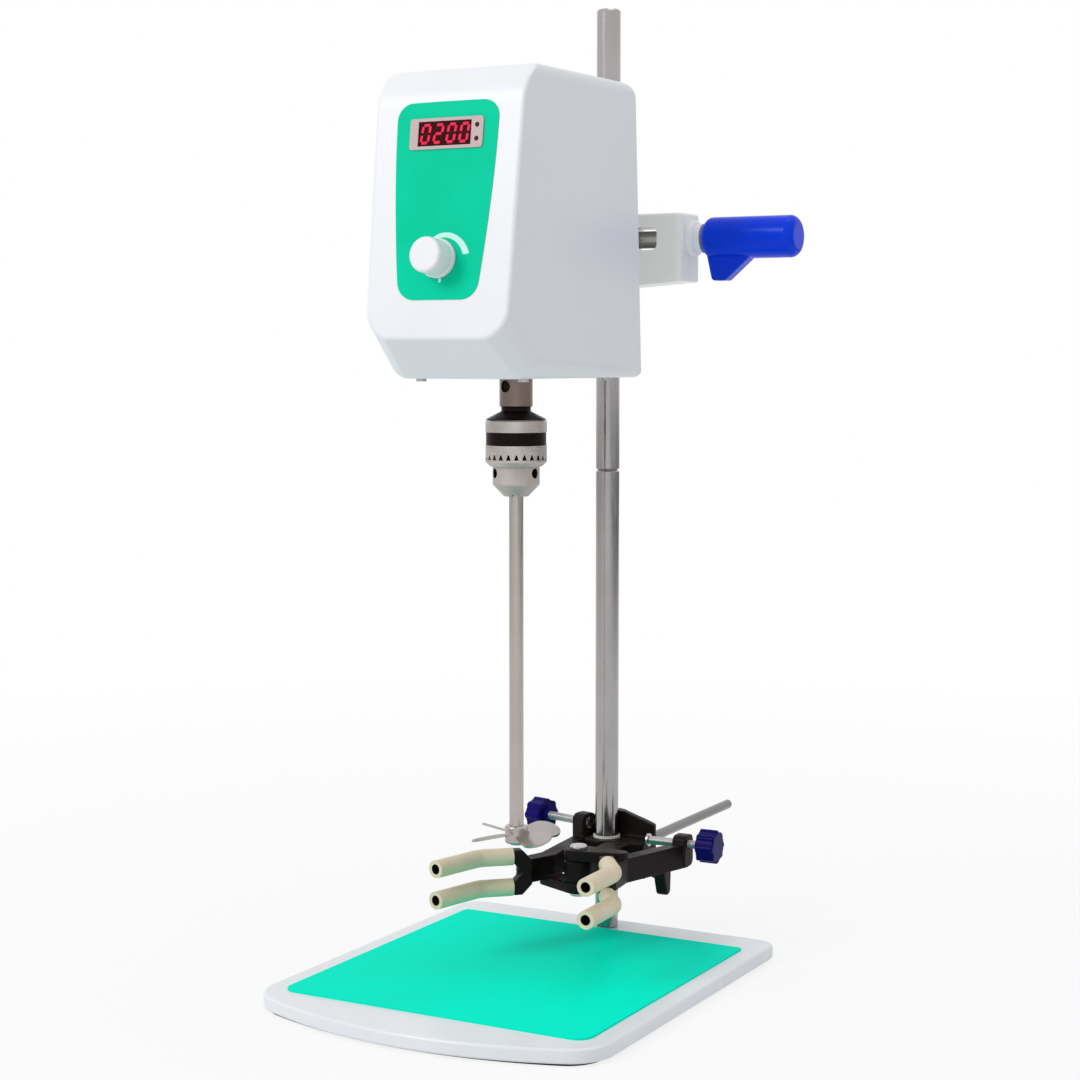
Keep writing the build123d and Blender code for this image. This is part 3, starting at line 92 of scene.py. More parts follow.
class Wire:
    """One output socket of a material's tree; operators on it add Math nodes."""

    def __init__(self, socket):
        self.socket = socket
        self.tree = socket.id_data

    def make(self, kind, settings=None, inputs=None, output=None):
        """Add a node. Its inputs are given by name or by number, and its output by name."""
        node = self.tree.nodes.new(kind)
        for key, value in (settings or {}).items():
            setattr(node, key, value)
        for key, value in (inputs or {}).items():
            live = [s for s in node.inputs if s.enabled]
            socket = live[key] if isinstance(key, int) else next(s for s in live if s.name == key)
            if isinstance(value, Wire):
                self.tree.links.new(value.socket, socket)
            else:
                socket.default_value = value
        live = [s for s in node.outputs if s.enabled]
        chosen = live[0] if output is None else next(s for s in live if s.name == output)
        return Wire(chosen)

    def other(self, name):
        """Another output of the same node."""
        return Wire(self.socket.node.outputs[name])

    def maths(self, operation, *values):
        return self.make("ShaderNodeMath", {"operation": operation}, dict(enumerate(values)))

    def __add__(self, value):
        return self.maths("ADD", self, value)

    def __radd__(self, value):
        return self.maths("ADD", value, self)

    def __sub__(self, value):
        return self.maths("SUBTRACT", self, value)

    def __rsub__(self, value):
        return self.maths("SUBTRACT", value, self)

    def __mul__(self, value):
        return self.maths("MULTIPLY", self, value)

    def __rmul__(self, value):
        return self.maths("MULTIPLY", value, self)

    def __gt__(self, value):
        return self.maths("GREATER_THAN", self, value)

    def __lt__(self, value):
        return self.maths("LESS_THAN", self, value)

    def clamp(self):
        return self.make("ShaderNodeClamp", {}, {0: self})


def blank(name):
    """A new material, and the wire of its Object coordinates."""
    material = bpy.data.materials.new(name)
    material.use_nodes = True
    material.node_tree.nodes.clear()
    coordinates = material.node_tree.nodes.new("ShaderNodeTexCoord")
    return material, Wire(coordinates.outputs["Object"])


def finish(material, surface):
    """Send a shader wire to the material's output."""
    output = surface.tree.nodes.new("ShaderNodeOutputMaterial")
    surface.tree.links.new(surface.socket, output.inputs["Surface"])
    return material


def noise(place, scale, detail):
    return place.make("ShaderNodeTexNoise", {}, {"Vector": place, "Scale": scale, "Detail": detail})


def vector_maths(operation, place, value=None, output="Vector"):
    inputs = {0: place} if value is None else {0: place, 1: value}
    return place.make("ShaderNodeVectorMath", {"operation": operation}, inputs, output)


def dot(place, vector):
    return vector_maths("DOT_PRODUCT", place, vector, "Value")


def length(place):
    return vector_maths("LENGTH", place, output="Value")


def spread(wire, low, high, to_low=0.0, to_high=1.0):
    """Map a value from one range to another, held at both ends."""
    inputs = {"Value": wire, "From Min": low, "From Max": high, "To Min": to_low, "To Max": to_high}
    return wire.make("ShaderNodeMapRange", {"clamp": True}, inputs)


def blend(mask, first, second):
    """A colour that goes from first to second with the mask."""
    first, second = ((*c, 1) if isinstance(c, tuple) else c for c in (first, second))
    return mask.make("ShaderNodeMix", {"data_type": "RGBA"}, {"Factor": mask, "A": first, "B": second})


def relief(height, depth):
    """A bump from a height of 0 to 1 and its depth in metres."""
    return height.make("ShaderNodeBump", {}, {"Distance": depth, "Height": height})


def shiny(place, colour, rough, metal=0.0, normal=None, gleam=0.5, **more):
    """The main shader, from a colour, a roughness and what else is given. Gleam is how strongly
    the surface mirrors light: 0.5 suits most plastics, less suits a matt deep colour."""
    colour = (*colour, 1) if isinstance(colour, tuple) else colour
    inputs = {"Base Color": colour, "Roughness": rough, "Metallic": metal, "Specular IOR Level": gleam}
    if normal is not None:
        inputs["Normal"] = normal
    for key, value in more.items():
        inputs[key.replace("_", " ")] = value
    return place.make("ShaderNodeBsdfPrincipled", {}, inputs)


print("material helpers ready")

# %% [markdown]
# ## The finishes
# Moulded plastic is never one flat colour: it has a fine grain, and its shade and gloss change
# slowly over the surface. The castings wear a textured black coat. The steel is turned or
# drawn, so its scratches run round it or along it. Each finish is a short function, so its
# grain is set once and its colour is chosen for each piece.

# %% Plastics, coats and rubber


def moulded(name, colour, rough, grain=2600.0, depth=0.00002, tint=0.035, gleam=0.5):
    """Moulded plastic, or a smooth paint coat. Tint is how much darker its darker patches are."""
    material, place = blank(name)
    cloud = noise(place, 14.0, 3.0)
    fine = noise(place, grain, 2.0)
    low = tuple(c * (1 - tint) for c in colour)
    shade = blend(spread(cloud, 0.3, 0.7), low, colour)
    gloss = spread(cloud, 0.3, 0.7, rough - 0.04, rough + 0.05)
    return finish(material, shiny(place, shade, gloss, normal=relief(fine, depth), gleam=gleam))


def textured_coat(name, colour, rough, grain=900.0):
    """A thick textured coat, as on small black castings, a little bare where it is rubbed."""
    material, place = blank(name)
    pebble = place.make("ShaderNodeTexVoronoi", {}, {"Vector": place, "Scale": grain})
    cloud = noise(place, 60.0, 4.0)
    shade = blend(spread(cloud, 0.35, 0.75), colour, tuple(c * 1.9 + 0.004 for c in colour))
    height = pebble * 0.6 + noise(place, grain * 2.2, 2.0) * 0.4
    gloss = spread(cloud, 0.3, 0.7, rough - 0.12, rough + 0.1)
    return finish(material, shiny(place, shade, gloss, normal=relief(height, 0.00012), gleam=0.1))


# The fingers of each jaw are a pair of tubes, one above the other, and point the same way. A
# tip is the place half way between the ends of a pair. Sizes and places are in millimetres.
# The bores of the finger tubes get painted shade, out to this radius and this deep from the tip.
tube_rise, bore_radius, bore_depth = 9.0, 2.95, 15.0
left_ahead, left_tip = (-0.214735, -0.976672), (-43.36, -16.24, 57.0)
right_ahead, right_tip = (0.040132, -0.999194), (56.87, -25.10, 60.5)


def soft_rubber(name, colour, rough, tip=None, ahead=None):
    """Rubber. Given the place between the tips of a pair of tubes and the way they point, their bores are
    painted near black: painted shade for the holes, which also stands for the black core that shows near
    their openings. What is painted lies near the middle line of a tube, close to its tip."""
    material, place = blank(name)
    cloud = noise(place, 90.0, 4.0)
    streak = noise(place, 700.0, 3.0)
    shade = blend(spread(cloud, 0.3, 0.75), tuple(c * 0.9 for c in colour), colour)
    if tip:
        local = vector_maths("SUBTRACT", place, tuple(c * MM for c in tip))
        side = dot(local, (ahead[1], -ahead[0], 0.0))
        level = dot(local, (0.0, 0.0, 1.0))
        rise = level.maths("ABSOLUTE", level) - tube_rise * MM
        near = (side * side + rise * rise) < (bore_radius * MM) ** 2
        bore_shade = near * (dot(local, (*ahead, 0.0)) > -bore_depth * MM)
        # Painted shade: the bores are coloured near black.
        shade = blend(bore_shade, shade, (0.012, 0.007, 0.006))
    gloss = spread(streak, 0.3, 0.7, rough - 0.07, rough + 0.1)
    return finish(material, shiny(place, shade, gloss, normal=relief(streak, 0.00005)))


white_plastic = moulded("white_plastic", (0.825, 0.83, 0.855), 0.36)
# Painted light: the collar wears the white plastic made brighter, for the light that falls on it.
white_collar_painted_light = moulded("white_collar_painted_light", (0.90, 0.91, 0.925), 0.3)
white_coat = moulded("white_coat", (0.82, 0.84, 0.865), 0.28, 900.0, 0.00003)
white_cast = moulded("white_cast", (0.93, 0.93, 0.89), 0.32, 1100.0, 0.00004)
natural_plastic = moulded("natural_plastic", (0.72, 0.71, 0.66), 0.4)
dark_plastic = moulded("dark_plastic", (0.009, 0.007, 0.008), 0.42, 2200.0, 0.00003, gleam=0.12)
blue_plastic = moulded("blue_plastic", (0.0005, 0.05, 0.84), 0.2, 1800.0, 0.00002, 0.25, 0.12)
black_cast = textured_coat("black_cast", (0.0065, 0.003, 0.003), 0.42)
cream = (0.78, 0.66, 0.47)
sleeves_left = soft_rubber("cream_rubber_left", cream, 0.5, left_tip, left_ahead)
sleeves_right = soft_rubber("cream_rubber_right", cream, 0.5, right_tip, right_ahead)
black_rubber = soft_rubber("black_rubber", (0.02, 0.02, 0.021), 0.7)
print("plastics", len(bpy.data.materials))

# %% Mat, panel film and display


def mat_green():
    """A rubber mat: fine grain, a slow change of shade."""
    material, place = blank("mat_green")
    grain = noise(place, 1500.0, 3.0)
    cloud = noise(place, 11.0, 3.0)
    shade = blend(spread(cloud, 0.3, 0.7), (0.0, 0.89, 0.61), (0.0005, 0.95, 0.67))
    gloss = spread(cloud, 0.3, 0.7, 0.5, 0.6)
    return finish(material, shiny(place, shade, gloss, normal=relief(grain, 0.00006), gleam=0.01))


def panel_film():
    """A printed polyester film: glossy, with a faint orange peel."""
    material, place = blank("panel_film")
    cloud = noise(place, 30.0, 2.0)
    shade = blend(spread(cloud, 0.3, 0.7), (0.002, 0.585, 0.325), (0.003, 0.64, 0.365))
    peel = noise(place, 900.0, 2.0)
    return finish(material, shiny(place, shade, 0.34, normal=relief(peel, 0.000012), gleam=0.02))


def dark_lens():
    """The smoked red window over the digits."""
    material, place = blank("dark_lens")
    cloud = noise(place, 220.0, 2.0)
    shade = blend(cloud, (0.022, 0.002, 0.003), (0.035, 0.003, 0.004))
    return finish(material, shiny(place, shade, 0.2, normal=relief(cloud, 0.000004), gleam=0.02))


def lit_segment():
    """A lit display bar. Its glow is a little uneven, because the resin over the lamp is cloudy."""
    material, place = blank("lit_segment")
    cloud = noise(place, 700.0, 2.0)
    glow = blend(spread(cloud, 0.3, 0.7), (0.80, 0.001, 0.05), (0.95, 0.012, 0.10))
    base = (0.2, 0.001, 0.006)
    return finish(material, shiny(place, base, 0.35, gleam=0.1, Emission_Color=glow, Emission_Strength=0.85))


def dull_segment():
    """An unlit display bar: dark resin, just paler than the window."""
    material, place = blank("dull_segment")
    cloud = noise(place, 700.0, 2.0)
    shade = blend(cloud, (0.07, 0.003, 0.005), (0.09, 0.004, 0.007))
    return finish(material, shiny(place, shade, 0.35, gleam=0.02))


def printed_ink(name, colour):
    """A thin layer of screen ink: its dots make the shade uneven."""
    material, place = blank(name)
    dots = noise(place, 1200.0, 2.0)
    shade = blend(spread(dots, 0.35, 0.65), tuple(c * 0.9 for c in colour), colour)
    return finish(material, shiny(place, shade, 0.42, normal=relief(dots, 0.000008), gleam=0.2))


mat_rubber = mat_green()
green_film = panel_film()
display_glass = dark_lens()
segment_on = lit_segment()
segment_off = dull_segment()
mint_ink = printed_ink("mint_ink", (0.60, 0.97, 0.86))
silver_trim = moulded("silver_trim", (0.55, 0.41, 0.40), 0.34, 1500.0, 0.00001, gleam=0.25)
print("panel finishes", len(bpy.data.materials))

# %% Steel
# How wide the pattern of scratches is squeezed in x, y and z: a small number draws it out.
drawn_upright, drawn_lengthways = (1.0, 1.0, 0.02), (1.0, 0.02, 1.0)
turned, plain = (0.03, 0.03, 1.0), (1.0, 1.0, 1.0)
scratch_depth = 0.000012


def steel(name, colour, rough, scratched):
    """Bare steel. Its scratches run along the axes in which their pattern is drawn out."""
    material, place = blank(name)
    drawn = place.make("ShaderNodeMapping", {}, {"Vector": place, "Scale": scratched})
    lines = noise(drawn, 2600.0, 3.0)
    cloud = noise(place, 45.0, 4.0)
    wear = spread(cloud, 0.3, 0.75, 0.5, 1.0) * spread(lines, 0.3, 0.7, 0.8, 1.0)
    shade = blend(wear, tuple(c * 0.78 for c in colour), colour)
    gloss = spread(lines, 0.3, 0.7, rough - 0.06, rough + 0.09)
    return finish(material, shiny(place, shade, gloss, 1.0, relief(lines, scratch_depth)))


column_steel = steel("column_steel", (0.41, 0.395, 0.39), 0.17, drawn_upright)
shaft_steel = steel("shaft_steel", (0.50, 0.455, 0.425), 0.22, drawn_upright)
stem_steel = steel("stem_steel", (0.22, 0.22, 0.22), 0.25, drawn_lengthways)
screw_steel = steel("screw_steel", (0.52, 0.51, 0.51), 0.26, turned)
blade_steel = steel("blade_steel", (0.46, 0.42, 0.41), 0.2, plain)
sheet_steel = steel("sheet_steel", (0.45, 0.46, 0.47), 0.35, plain)

# Each thumbscrew lies square to its jaw's fingers, and its knob starts this far along it.
thread_pitch = 0.8
left_screw_axis, left_knob_start = (left_ahead[1], -left_ahead[0], 0.0), 67.6
right_screw_axis, right_knob_start = (-right_ahead[1], right_ahead[0], 0.0), 66.6


def knobbed_screw(name, axis, knob_start):
    """Threaded steel on the shank and deep blue plastic on the knob, parted by the distance
    along the axis."""
    material, place = blank(name)
    reach = dot(place, axis)
    knob = reach > knob_start * MM
    cloud = noise(place, 60.0, 3.0)
    thread = reach.maths("SINE", reach * (2 * pi / (thread_pitch * MM)))
    blue = blend(spread(cloud, 0.3, 0.7), (0.004, 0.0015, 0.085), (0.007, 0.003, 0.13))
    shade = blend(knob, (0.42, 0.41, 0.41), blue)
    height = noise(place, 1800.0, 2.0) * knob * 0.2 + (1.0 - knob) * (thread * 0.5 + 0.5)
    gloss = spread(cloud, 0.3, 0.7, 0.27, 0.36)
    return finish(material, shiny(place, shade, gloss, 1.0 - knob, relief(height, 0.00012), 0.06))


screw_left_finish = knobbed_screw("thumbscrew_left", left_screw_axis, left_knob_start)
screw_right_finish = knobbed_screw("thumbscrew_right", right_screw_axis, right_knob_start)

# Heights on the chuck: its matt nose ends at the first, and painted shade deepens between the others. Bands
# and holes are painted near black as shade: a band is given by its foot and head, and a hole by how far out
# it is dark, its foot and head.
nose_top, pale_top, deep_foot = 297.2, 299.0, 309.0
body_band, sleeve_band = (319.9, 327.0), (305.95, 313.15)
key_holes, set_screw_hole = (12.6, 285.0, 294.2), (8.85, 334.0, 342.6)


def chuck_steel(name, low, high, band=None, hole=None):
    """Turned steel in shades from low to high, with painted shade that deepens going up between two heights.
    It is painted near black, as shade, in a band between two heights, and in a hole: what lies nearer to the
    axis than a radius, between two heights."""
    material, place = blank(name)
    height = place.make("ShaderNodeSeparateXYZ", {}, {0: place}, "Z")
    dark = []
    if band:
        foot, head = band
        dark.append((height > foot * MM) * (height < head * MM))
    if hole:
        reach, foot, head = hole
        radius = length(vector_maths("MULTIPLY", place, (1, 1, 0)))
        dark.append((radius < reach * MM) * (height > foot * MM) * (height < head * MM))
    mask = sum(dark).clamp()
    ring = place.make("ShaderNodeMapping", {}, {"Vector": place, "Scale": turned})
    lines = noise(ring, 3000.0, 3.0)
    cloud = noise(place, 80.0, 4.0)
    # Painted shade: the colour darkens going up from the first height to the second.
    painted_shade_by_height = spread(height, pale_top * MM, deep_foot * MM, 1.0, 0.35)
    bright = blend(spread(cloud, 0.3, 0.75) * painted_shade_by_height, low, high)
    # Painted shade: bands and holes are coloured near black.
    shade = blend(mask, bright, (0.008, 0.0035, 0.0035))
    nose = height < nose_top * MM
    gloss = spread(lines, 0.3, 0.7, 0.16, 0.28) + mask * 0.08 + nose * 0.3
    metal = (1.0 - mask) * (1.0 - nose * 0.45)
    return finish(material, shiny(place, shade, gloss, metal, relief(lines, scratch_depth), 0.08))


chuck_metal = chuck_steel("chuck_metal", (0.42, 0.375, 0.355), (0.56, 0.515, 0.49), body_band, key_holes)
sleeve_metal = chuck_steel("sleeve_metal", (0.46, 0.42, 0.40), (0.70, 0.66, 0.63), sleeve_band)
adapter_metal = chuck_steel("adapter_metal", (0.20, 0.15, 0.135), (0.29, 0.225, 0.205), hole=set_screw_hole)
print("steels", len(bpy.data.materials))

# %% [markdown]
# ## Dressing the solids
# A solid whose shape is already right stays and gets its finish. The table below reads like a
# parts list: each finish, and the nodes that wear it.

# %% Finishes of the solids
wears = {
    white_plastic: ["housing_shell", "rear_cover", "bottom_plate", "speed_knob"],
    white_collar_painted_light: ["lever_collar"],
    white_coat: ["base_plate"],
    white_cast: ["head_bracket"],
    natural_plastic: ["column_bush", "clamp_bush", "spindle_gear"],
    dark_plastic: [
        "mains_inlet", "power_switch", "power_rocker", "potentiometer", "indicator_leds", "boss_wing",
    ],
    blue_plastic: ["lever_handle"],
    screw_left_finish: ["thumbscrew_left"],
    screw_right_finish: ["thumbscrew_right"],
    black_cast: ["clamp_boss", "clamp_jaw_left", "clamp_jaw_right"],
    sleeves_left: ["finger_sleeves_left"],
    sleeves_right: ["finger_sleeves_right"],
    black_rubber: ["base_liner"],
    mat_rubber: ["work_mat"],
    green_film: ["front_panel"],
    display_glass: ["display_window"],
    silver_trim: ["display_bezel"],
    column_steel: ["column_lower", "column_upper", "column_stud"],
    shaft_steel: ["stir_shaft"],
    stem_steel: ["clamp_stem"],
    screw_steel: [
        "foot_screw", "lever_screw", "boss_screw", "pivot_pin", "thumb_foot_left", "thumb_foot_right",
        "cover_screws", "bracket_bolts", "pressure_pad", "spindle_shaft", "motor_pinion",
    ],
    blade_steel: ["propeller"],
    sheet_steel: [
        "chassis", "motor_plate", "motor_can", "bearing_housing", "spindle_bearings", "control_board",
    ],
    chuck_metal: ["chuck_body", "chuck_jaw_1", "chuck_jaw_2", "chuck_jaw_3", "chuck_nut"],
    sleeve_metal: ["chuck_sleeve"],
    adapter_metal: ["chuck_adapter"],
}
for material, names in wears.items():
    for name in names:
        for slot in nodes[name].material_slots:
            slot.material = material
dressed = sum(len(names) for names in wears.values())
print("dressed", dressed, "of", len(nodes))

# %% [markdown]
# ## Modelling helpers
# The pieces below are shaped with Blender's own editing tools: pick points by where they lie,
# then move, resize, turn, bevel, cut or extrude. Short helpers keep that readable: they open a
# mesh with nothing picked, pick by place, move, resize or turn what is picked, thicken a flat
# shape, and close and tidy the mesh. The last gives the piece its name and finish and puts it on
# its body.

# %% Open, pick and close a mesh


def select_only(piece):
    bpy.ops.object.select_all(action="DESELECT")
    bpy.context.view_layer.objects.active = piece
    piece.select_set(True)


def open_mesh(piece):
    select_only(piece)
    bpy.ops.object.mode_set(mode="EDIT")
    bpy.ops.mesh.select_mode(type="VERT")
    bpy.ops.mesh.select_all(action="DESELECT")
    return piece


def pick_all():
    bpy.ops.mesh.select_all(action="SELECT")


def pick(piece, test):
    """Select the points whose place passes the test."""
    mesh = bmesh.from_edit_mesh(piece.data)
    for point in mesh.verts:
        point.select_set(test(point.co))
    mesh.select_flush_mode()
    bmesh.update_edit_mesh(piece.data)


def move(across, up, proud):
    bpy.ops.transform.translate(value=(across, up, proud))


def resize(across, up):
    bpy.ops.transform.resize(value=(across, up, 1), center_override=(0, 0, 0))


def turn(degrees):
    """Turn what is picked about the upright axis, anticlockwise as seen from above."""
    bpy.ops.transform.rotate(value=-radians(degrees), orient_axis="Z", center_override=(0, 0, 0))


def thicken(amount):
    """Draw the whole flat shape out upward, which makes a solid of it."""
    pick_all()
    bpy.ops.mesh.extrude_region_move(TRANSFORM_OT_translate={"value": (0, 0, amount)})


def close_mesh(merge=0.000002):
    """Merge doubles, turn the faces outward, and leave edit mode."""
    pick_all()
    bpy.ops.mesh.remove_doubles(threshold=merge)
    bpy.ops.mesh.normals_make_consistent(inside=False)
    bpy.ops.object.mode_set(mode="OBJECT")


def settle(piece, name, body, material, replaced=(), angle=35.0):
    """Name a finished piece, give it its finish, and let it ride. Faces that meet at less than
    the angle are shaded as one smooth surface."""
    piece.name = piece.data.name = name
    piece.data.materials.clear()
    piece.data.materials.append(material)
    select_only(piece)
    bpy.ops.object.transform_apply(location=True, rotation=True, scale=True)
    bpy.ops.object.shade_smooth_by_angle(angle=radians(angle))
    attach(piece, body)
    if replaced:
        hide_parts(*replaced)
    print(name, "faces", len(piece.data.polygons), "rides on", body)


# The fascia leans back. A place on it is given as millimetres across, up and proud of it.
fascia_lean, fascia_front, fascia_foot = radians(7.5), -86.0, 364.0
fascia = Matrix((
    (MM, 0, 0, 0),
    (0, sin(fascia_lean) * MM, -cos(fascia_lean) * MM, fascia_front * MM),
    (0, cos(fascia_lean) * MM, sin(fascia_lean) * MM, fascia_foot * MM),
    (0, 0, 0, 1),
))


def on_fascia(across, up, proud):
    return fascia @ Matrix.Translation((across, up, proud))


print("modelling helpers ready")

# %% [markdown]
# ## The panel film
# The green film is cut from sheet with bowed sides and a crowned top, and it overlaps the edge
# of the shallow recess that the engineering solid fills with straight sides. A plane is drawn
# out to the four corners, its corners are rounded, it is cut into strips, and the strips are
# drawn outward by a bow that is widest half way up.

# %% A bowed film
panel_low, panel_high = 20.2, 123.3
panel_foot_half, panel_top_half, panel_corner = 23.4, 30.6, 9.0
panel_bow, panel_crown = 1.7, 0.3
film_thick, film_sunk, strip_pitch = 0.45, 0.05, 4.0
panel_middle, panel_half = (panel_low + panel_high) / 2, (panel_high - panel_low) / 2
panel_mean_half = (panel_foot_half + panel_top_half) / 2

bpy.ops.mesh.primitive_plane_add(size=2.0)
film = open_mesh(bpy.context.object)
for above, half_width in ((False, panel_foot_half), (True, panel_top_half)):
    pick(film, lambda p: (p.y > 0) == above)
    resize(half_width, 1)
pick_all()
resize(1, panel_half)
bpy.ops.mesh.bevel(offset=panel_corner, segments=8, affect="VERTICES")
for strip in range(-11, 12):
    pick_all()
    bpy.ops.mesh.bisect(plane_co=(0, strip * strip_pitch, 0), plane_no=(0, 1, 0))
for strip in range(-6, 7):
    pick_all()
    bpy.ops.mesh.bisect(plane_co=(strip * strip_pitch, 0, 0), plane_no=(1, 0, 0))
mesh = bmesh.from_edit_mesh(film.data)
for point in mesh.verts:
    share = 1.0 - (point.co.y / panel_half) ** 2
    crown = 1.0 - (point.co.x / panel_top_half) ** 2
    point.co.x *= 1.0 + panel_bow * share / panel_mean_half
    if point.co.y > 0:
        point.co.y += panel_crown * crown * point.co.y / panel_half
bmesh.update_edit_mesh(film.data)
thicken(film_thick)
close_mesh(0.01)
film.data.transform(on_fascia(0, panel_middle, -film_sunk))
settle(film, "panel_film_cut", "head", green_film, ("front_panel",))

# %% [markdown]
# ## The digits
# A display of this kind is four moulded digits of seven bars. Each bar is a flat hexagon with a
# lamp behind it, and the digits lean a little to the right. One bar is modelled and copied 28
# times: the lit bars spell 0200, and the dull ones keep the dark look of unlit resin.

# %% One bar, then four digits
bar_end_radius, bar_half_run, bar_thick = 0.86, 1.3, 0.1
digits_across, digits_up, digits_proud = -1.0, 106.8, 0.66
digit_high, digit_wide, digit_pitch, digit_lean = 9.2, 4.3, 7.75, 0.14
level_stretch, upright_stretch = 0.86, 0.82

bpy.ops.mesh.primitive_circle_add(vertices=6, radius=bar_end_radius, fill_type="NGON")
bar = open_mesh(bpy.context.object)
pick_all()
turn(30)
pick(bar, lambda p: p.x > 0.1)
move(bar_half_run, 0, 0)
pick(bar, lambda p: p.x < -0.1)
move(-bar_half_run, 0, 0)
thicken(bar_thick)
close_mesh()

# Each bar's place across and up in its digit, as shares of half a width and of half a height.
level_bars = {"top": (0, 1), "middle": (0, 0), "bottom": (0, -1)}
upright_bars = {
    "upper_left": (-1, 0.5),
    "upper_right": (1, 0.5),
    "lower_left": (-1, -0.5),
    "lower_right": (1, -0.5),
}
dull_bars = {"0": {"middle"}, "2": {"upper_left", "lower_right"}}
slant = Matrix(((1, digit_lean, 0, 0), (0, 1, 0, 0), (0, 0, 1, 0), (0, 0, 0, 1)))
lit, dull = [], []
for order, digit in enumerate("0200"):
    across = digits_across + (order - 1.5) * digit_pitch
    for name, (x, y) in (level_bars | upright_bars).items():
        copy = bpy.data.objects.new("bar", bar.data.copy())
        bpy.context.collection.objects.link(copy)
        upright = name in upright_bars
        in_digit = Matrix.Translation((x * digit_wide / 2, y * digit_high / 2, 0))
        quarter = Matrix.Rotation(radians(90 if upright else 0), 4, "Z")
        stretch = Matrix.Diagonal((upright_stretch if upright else level_stretch, 1.0, 1.0, 1.0))
        place = on_fascia(across, digits_up, digits_proud)
        copy.data.transform(place @ slant @ in_digit @ quarter @ stretch)
        (dull if name in dull_bars[digit] else lit).append(copy)
bpy.data.objects.remove(bar)


def join(parts):
    bpy.ops.object.select_all(action="DESELECT")
    for part in parts:
        part.select_set(True)
    bpy.context.view_layer.objects.active = parts[0]
    bpy.ops.object.join()
    return bpy.context.object


settle(join(lit), "digits_lit", "head", segment_on, angle=20)
settle(join(dull), "digits_dull", "head", segment_off, angle=20)

# %% [markdown]
# ## The marks at the speed knob
# A crescent that widens clockwise says "more", and a short dash below the knob says where its
# pointer rests. Both are thin layers of pale ink. The crescent is one short edge, extruded in
# steps, each set a little further round and further out, so that it widens as it goes.

# %% Crescent and dash
knob_up, mark_from, mark_sweep, mark_steps = 41.5, 112.0, 104.0, 30
inner_from, inner_to, outer_from, outer_to = 9.65, 14.5, 11.75, 18.2
ink_thick, ink_proud, sliver = 0.05, 0.39, 0.01

bpy.ops.mesh.primitive_plane_add(size=1.0)
crescent = open_mesh(bpy.context.object)
pick_all()
resize(outer_from - inner_from, sliver)
move((inner_from + outer_from) / 2, 0, 0)
turn(mark_from)
clockwise = Vector((sin(radians(mark_from)), -cos(radians(mark_from)), 0))
pick(crescent, lambda p: p.dot(clockwise) > 0)
bpy.ops.mesh.select_mode(type="EDGE")
for step in range(1, mark_steps + 1):
    share = step / mark_steps
    heading = radians(mark_from - mark_sweep * share)
    along = Vector((cos(heading), sin(heading), 0))
    bpy.ops.mesh.extrude_edges_move(TRANSFORM_OT_translate={"value": (0, 0, 0)})
    mesh = bmesh.from_edit_mesh(crescent.data)
    near, far = sorted((point for point in mesh.verts if point.select), key=lambda v: v.co.length)
    near.co = along * (inner_from + (inner_to - inner_from) * share)
    far.co = along * (outer_from + (outer_to - outer_from) * share)
    bmesh.update_edit_mesh(crescent.data)
thicken(ink_thick)
close_mesh(0.002)
crescent.data.transform(on_fascia(0, knob_up, ink_proud))
settle(crescent, "speed_mark", "head", mint_ink)

dash_half_width, dash_stretch = 0.8, 0.9
dash_across, dash_up, dash_proud = 1.3, 29.9, 0.41
bpy.ops.mesh.primitive_cylinder_add(vertices=24, radius=dash_half_width, depth=ink_thick)
dash = open_mesh(bpy.context.object)
pick(dash, lambda p: p.y > 0.01)
move(0, dash_stretch, 0)
close_mesh()
dash.data.transform(on_fascia(dash_across, dash_up, dash_proud))
settle(dash, "rest_mark", "head", mint_ink)

# %% [markdown]
# ## The castings of the clamp
# Small clamps are die cast and thickly coated, so no edge of them is sharp: the coat pulls back
# into soft roundings. The engineering solid has the right places for holes and arms, so a copy
# of it is the start. A fine even mesh is grown over the copy and smoothed, as a coat would do.
# In front of the column the boss is low, so that the column shows; the copy is cut away there.

# %% A coated copy of a solid


def soft_copy(name, body, material, grain=None, rounds=None, cut=None):
    """Replace a node by a copy of itself, less a block given by two corners, in millimetres. Given
    a grain, its skin is grown anew that fine and smoothed for some rounds."""
    copy = bpy.data.objects.new(name, nodes[name].data.copy())
    bpy.context.collection.objects.link(copy)
    open_mesh(copy)
    close_mesh(0.00001)
    if cut:
        low, high = cut
        middle = [(a + b) / 2 * MM for a, b in zip(low, high)]
        bpy.ops.mesh.primitive_cube_add(size=1.0, location=middle)
        block = bpy.context.object
        block.scale = [(b - a) * MM for a, b in zip(low, high)]
        cutter = copy.modifiers.new("cut", "BOOLEAN")
        cutter.operation, cutter.solver, cutter.object = "DIFFERENCE", "EXACT", block
        bpy.context.view_layer.objects.active = copy
        bpy.ops.object.modifier_apply(modifier="cut")
        bpy.data.objects.remove(block)
    if grain:
        skin = copy.modifiers.new("skin", "REMESH")
        skin.mode, skin.voxel_size, skin.use_smooth_shade = "VOXEL", grain * MM, True
        ease = copy.modifiers.new("ease", "SMOOTH")
        ease.factor, ease.iterations = 0.5, rounds
        bpy.context.view_layer.objects.active = copy
        for step in ("skin", "ease"):
            bpy.ops.object.modifier_apply(modifier=step)
    ending, angle = ("_cast", 60.0) if grain else ("_cut", 35.0)
    settle(copy, name + ending, body, material, (name,), angle)


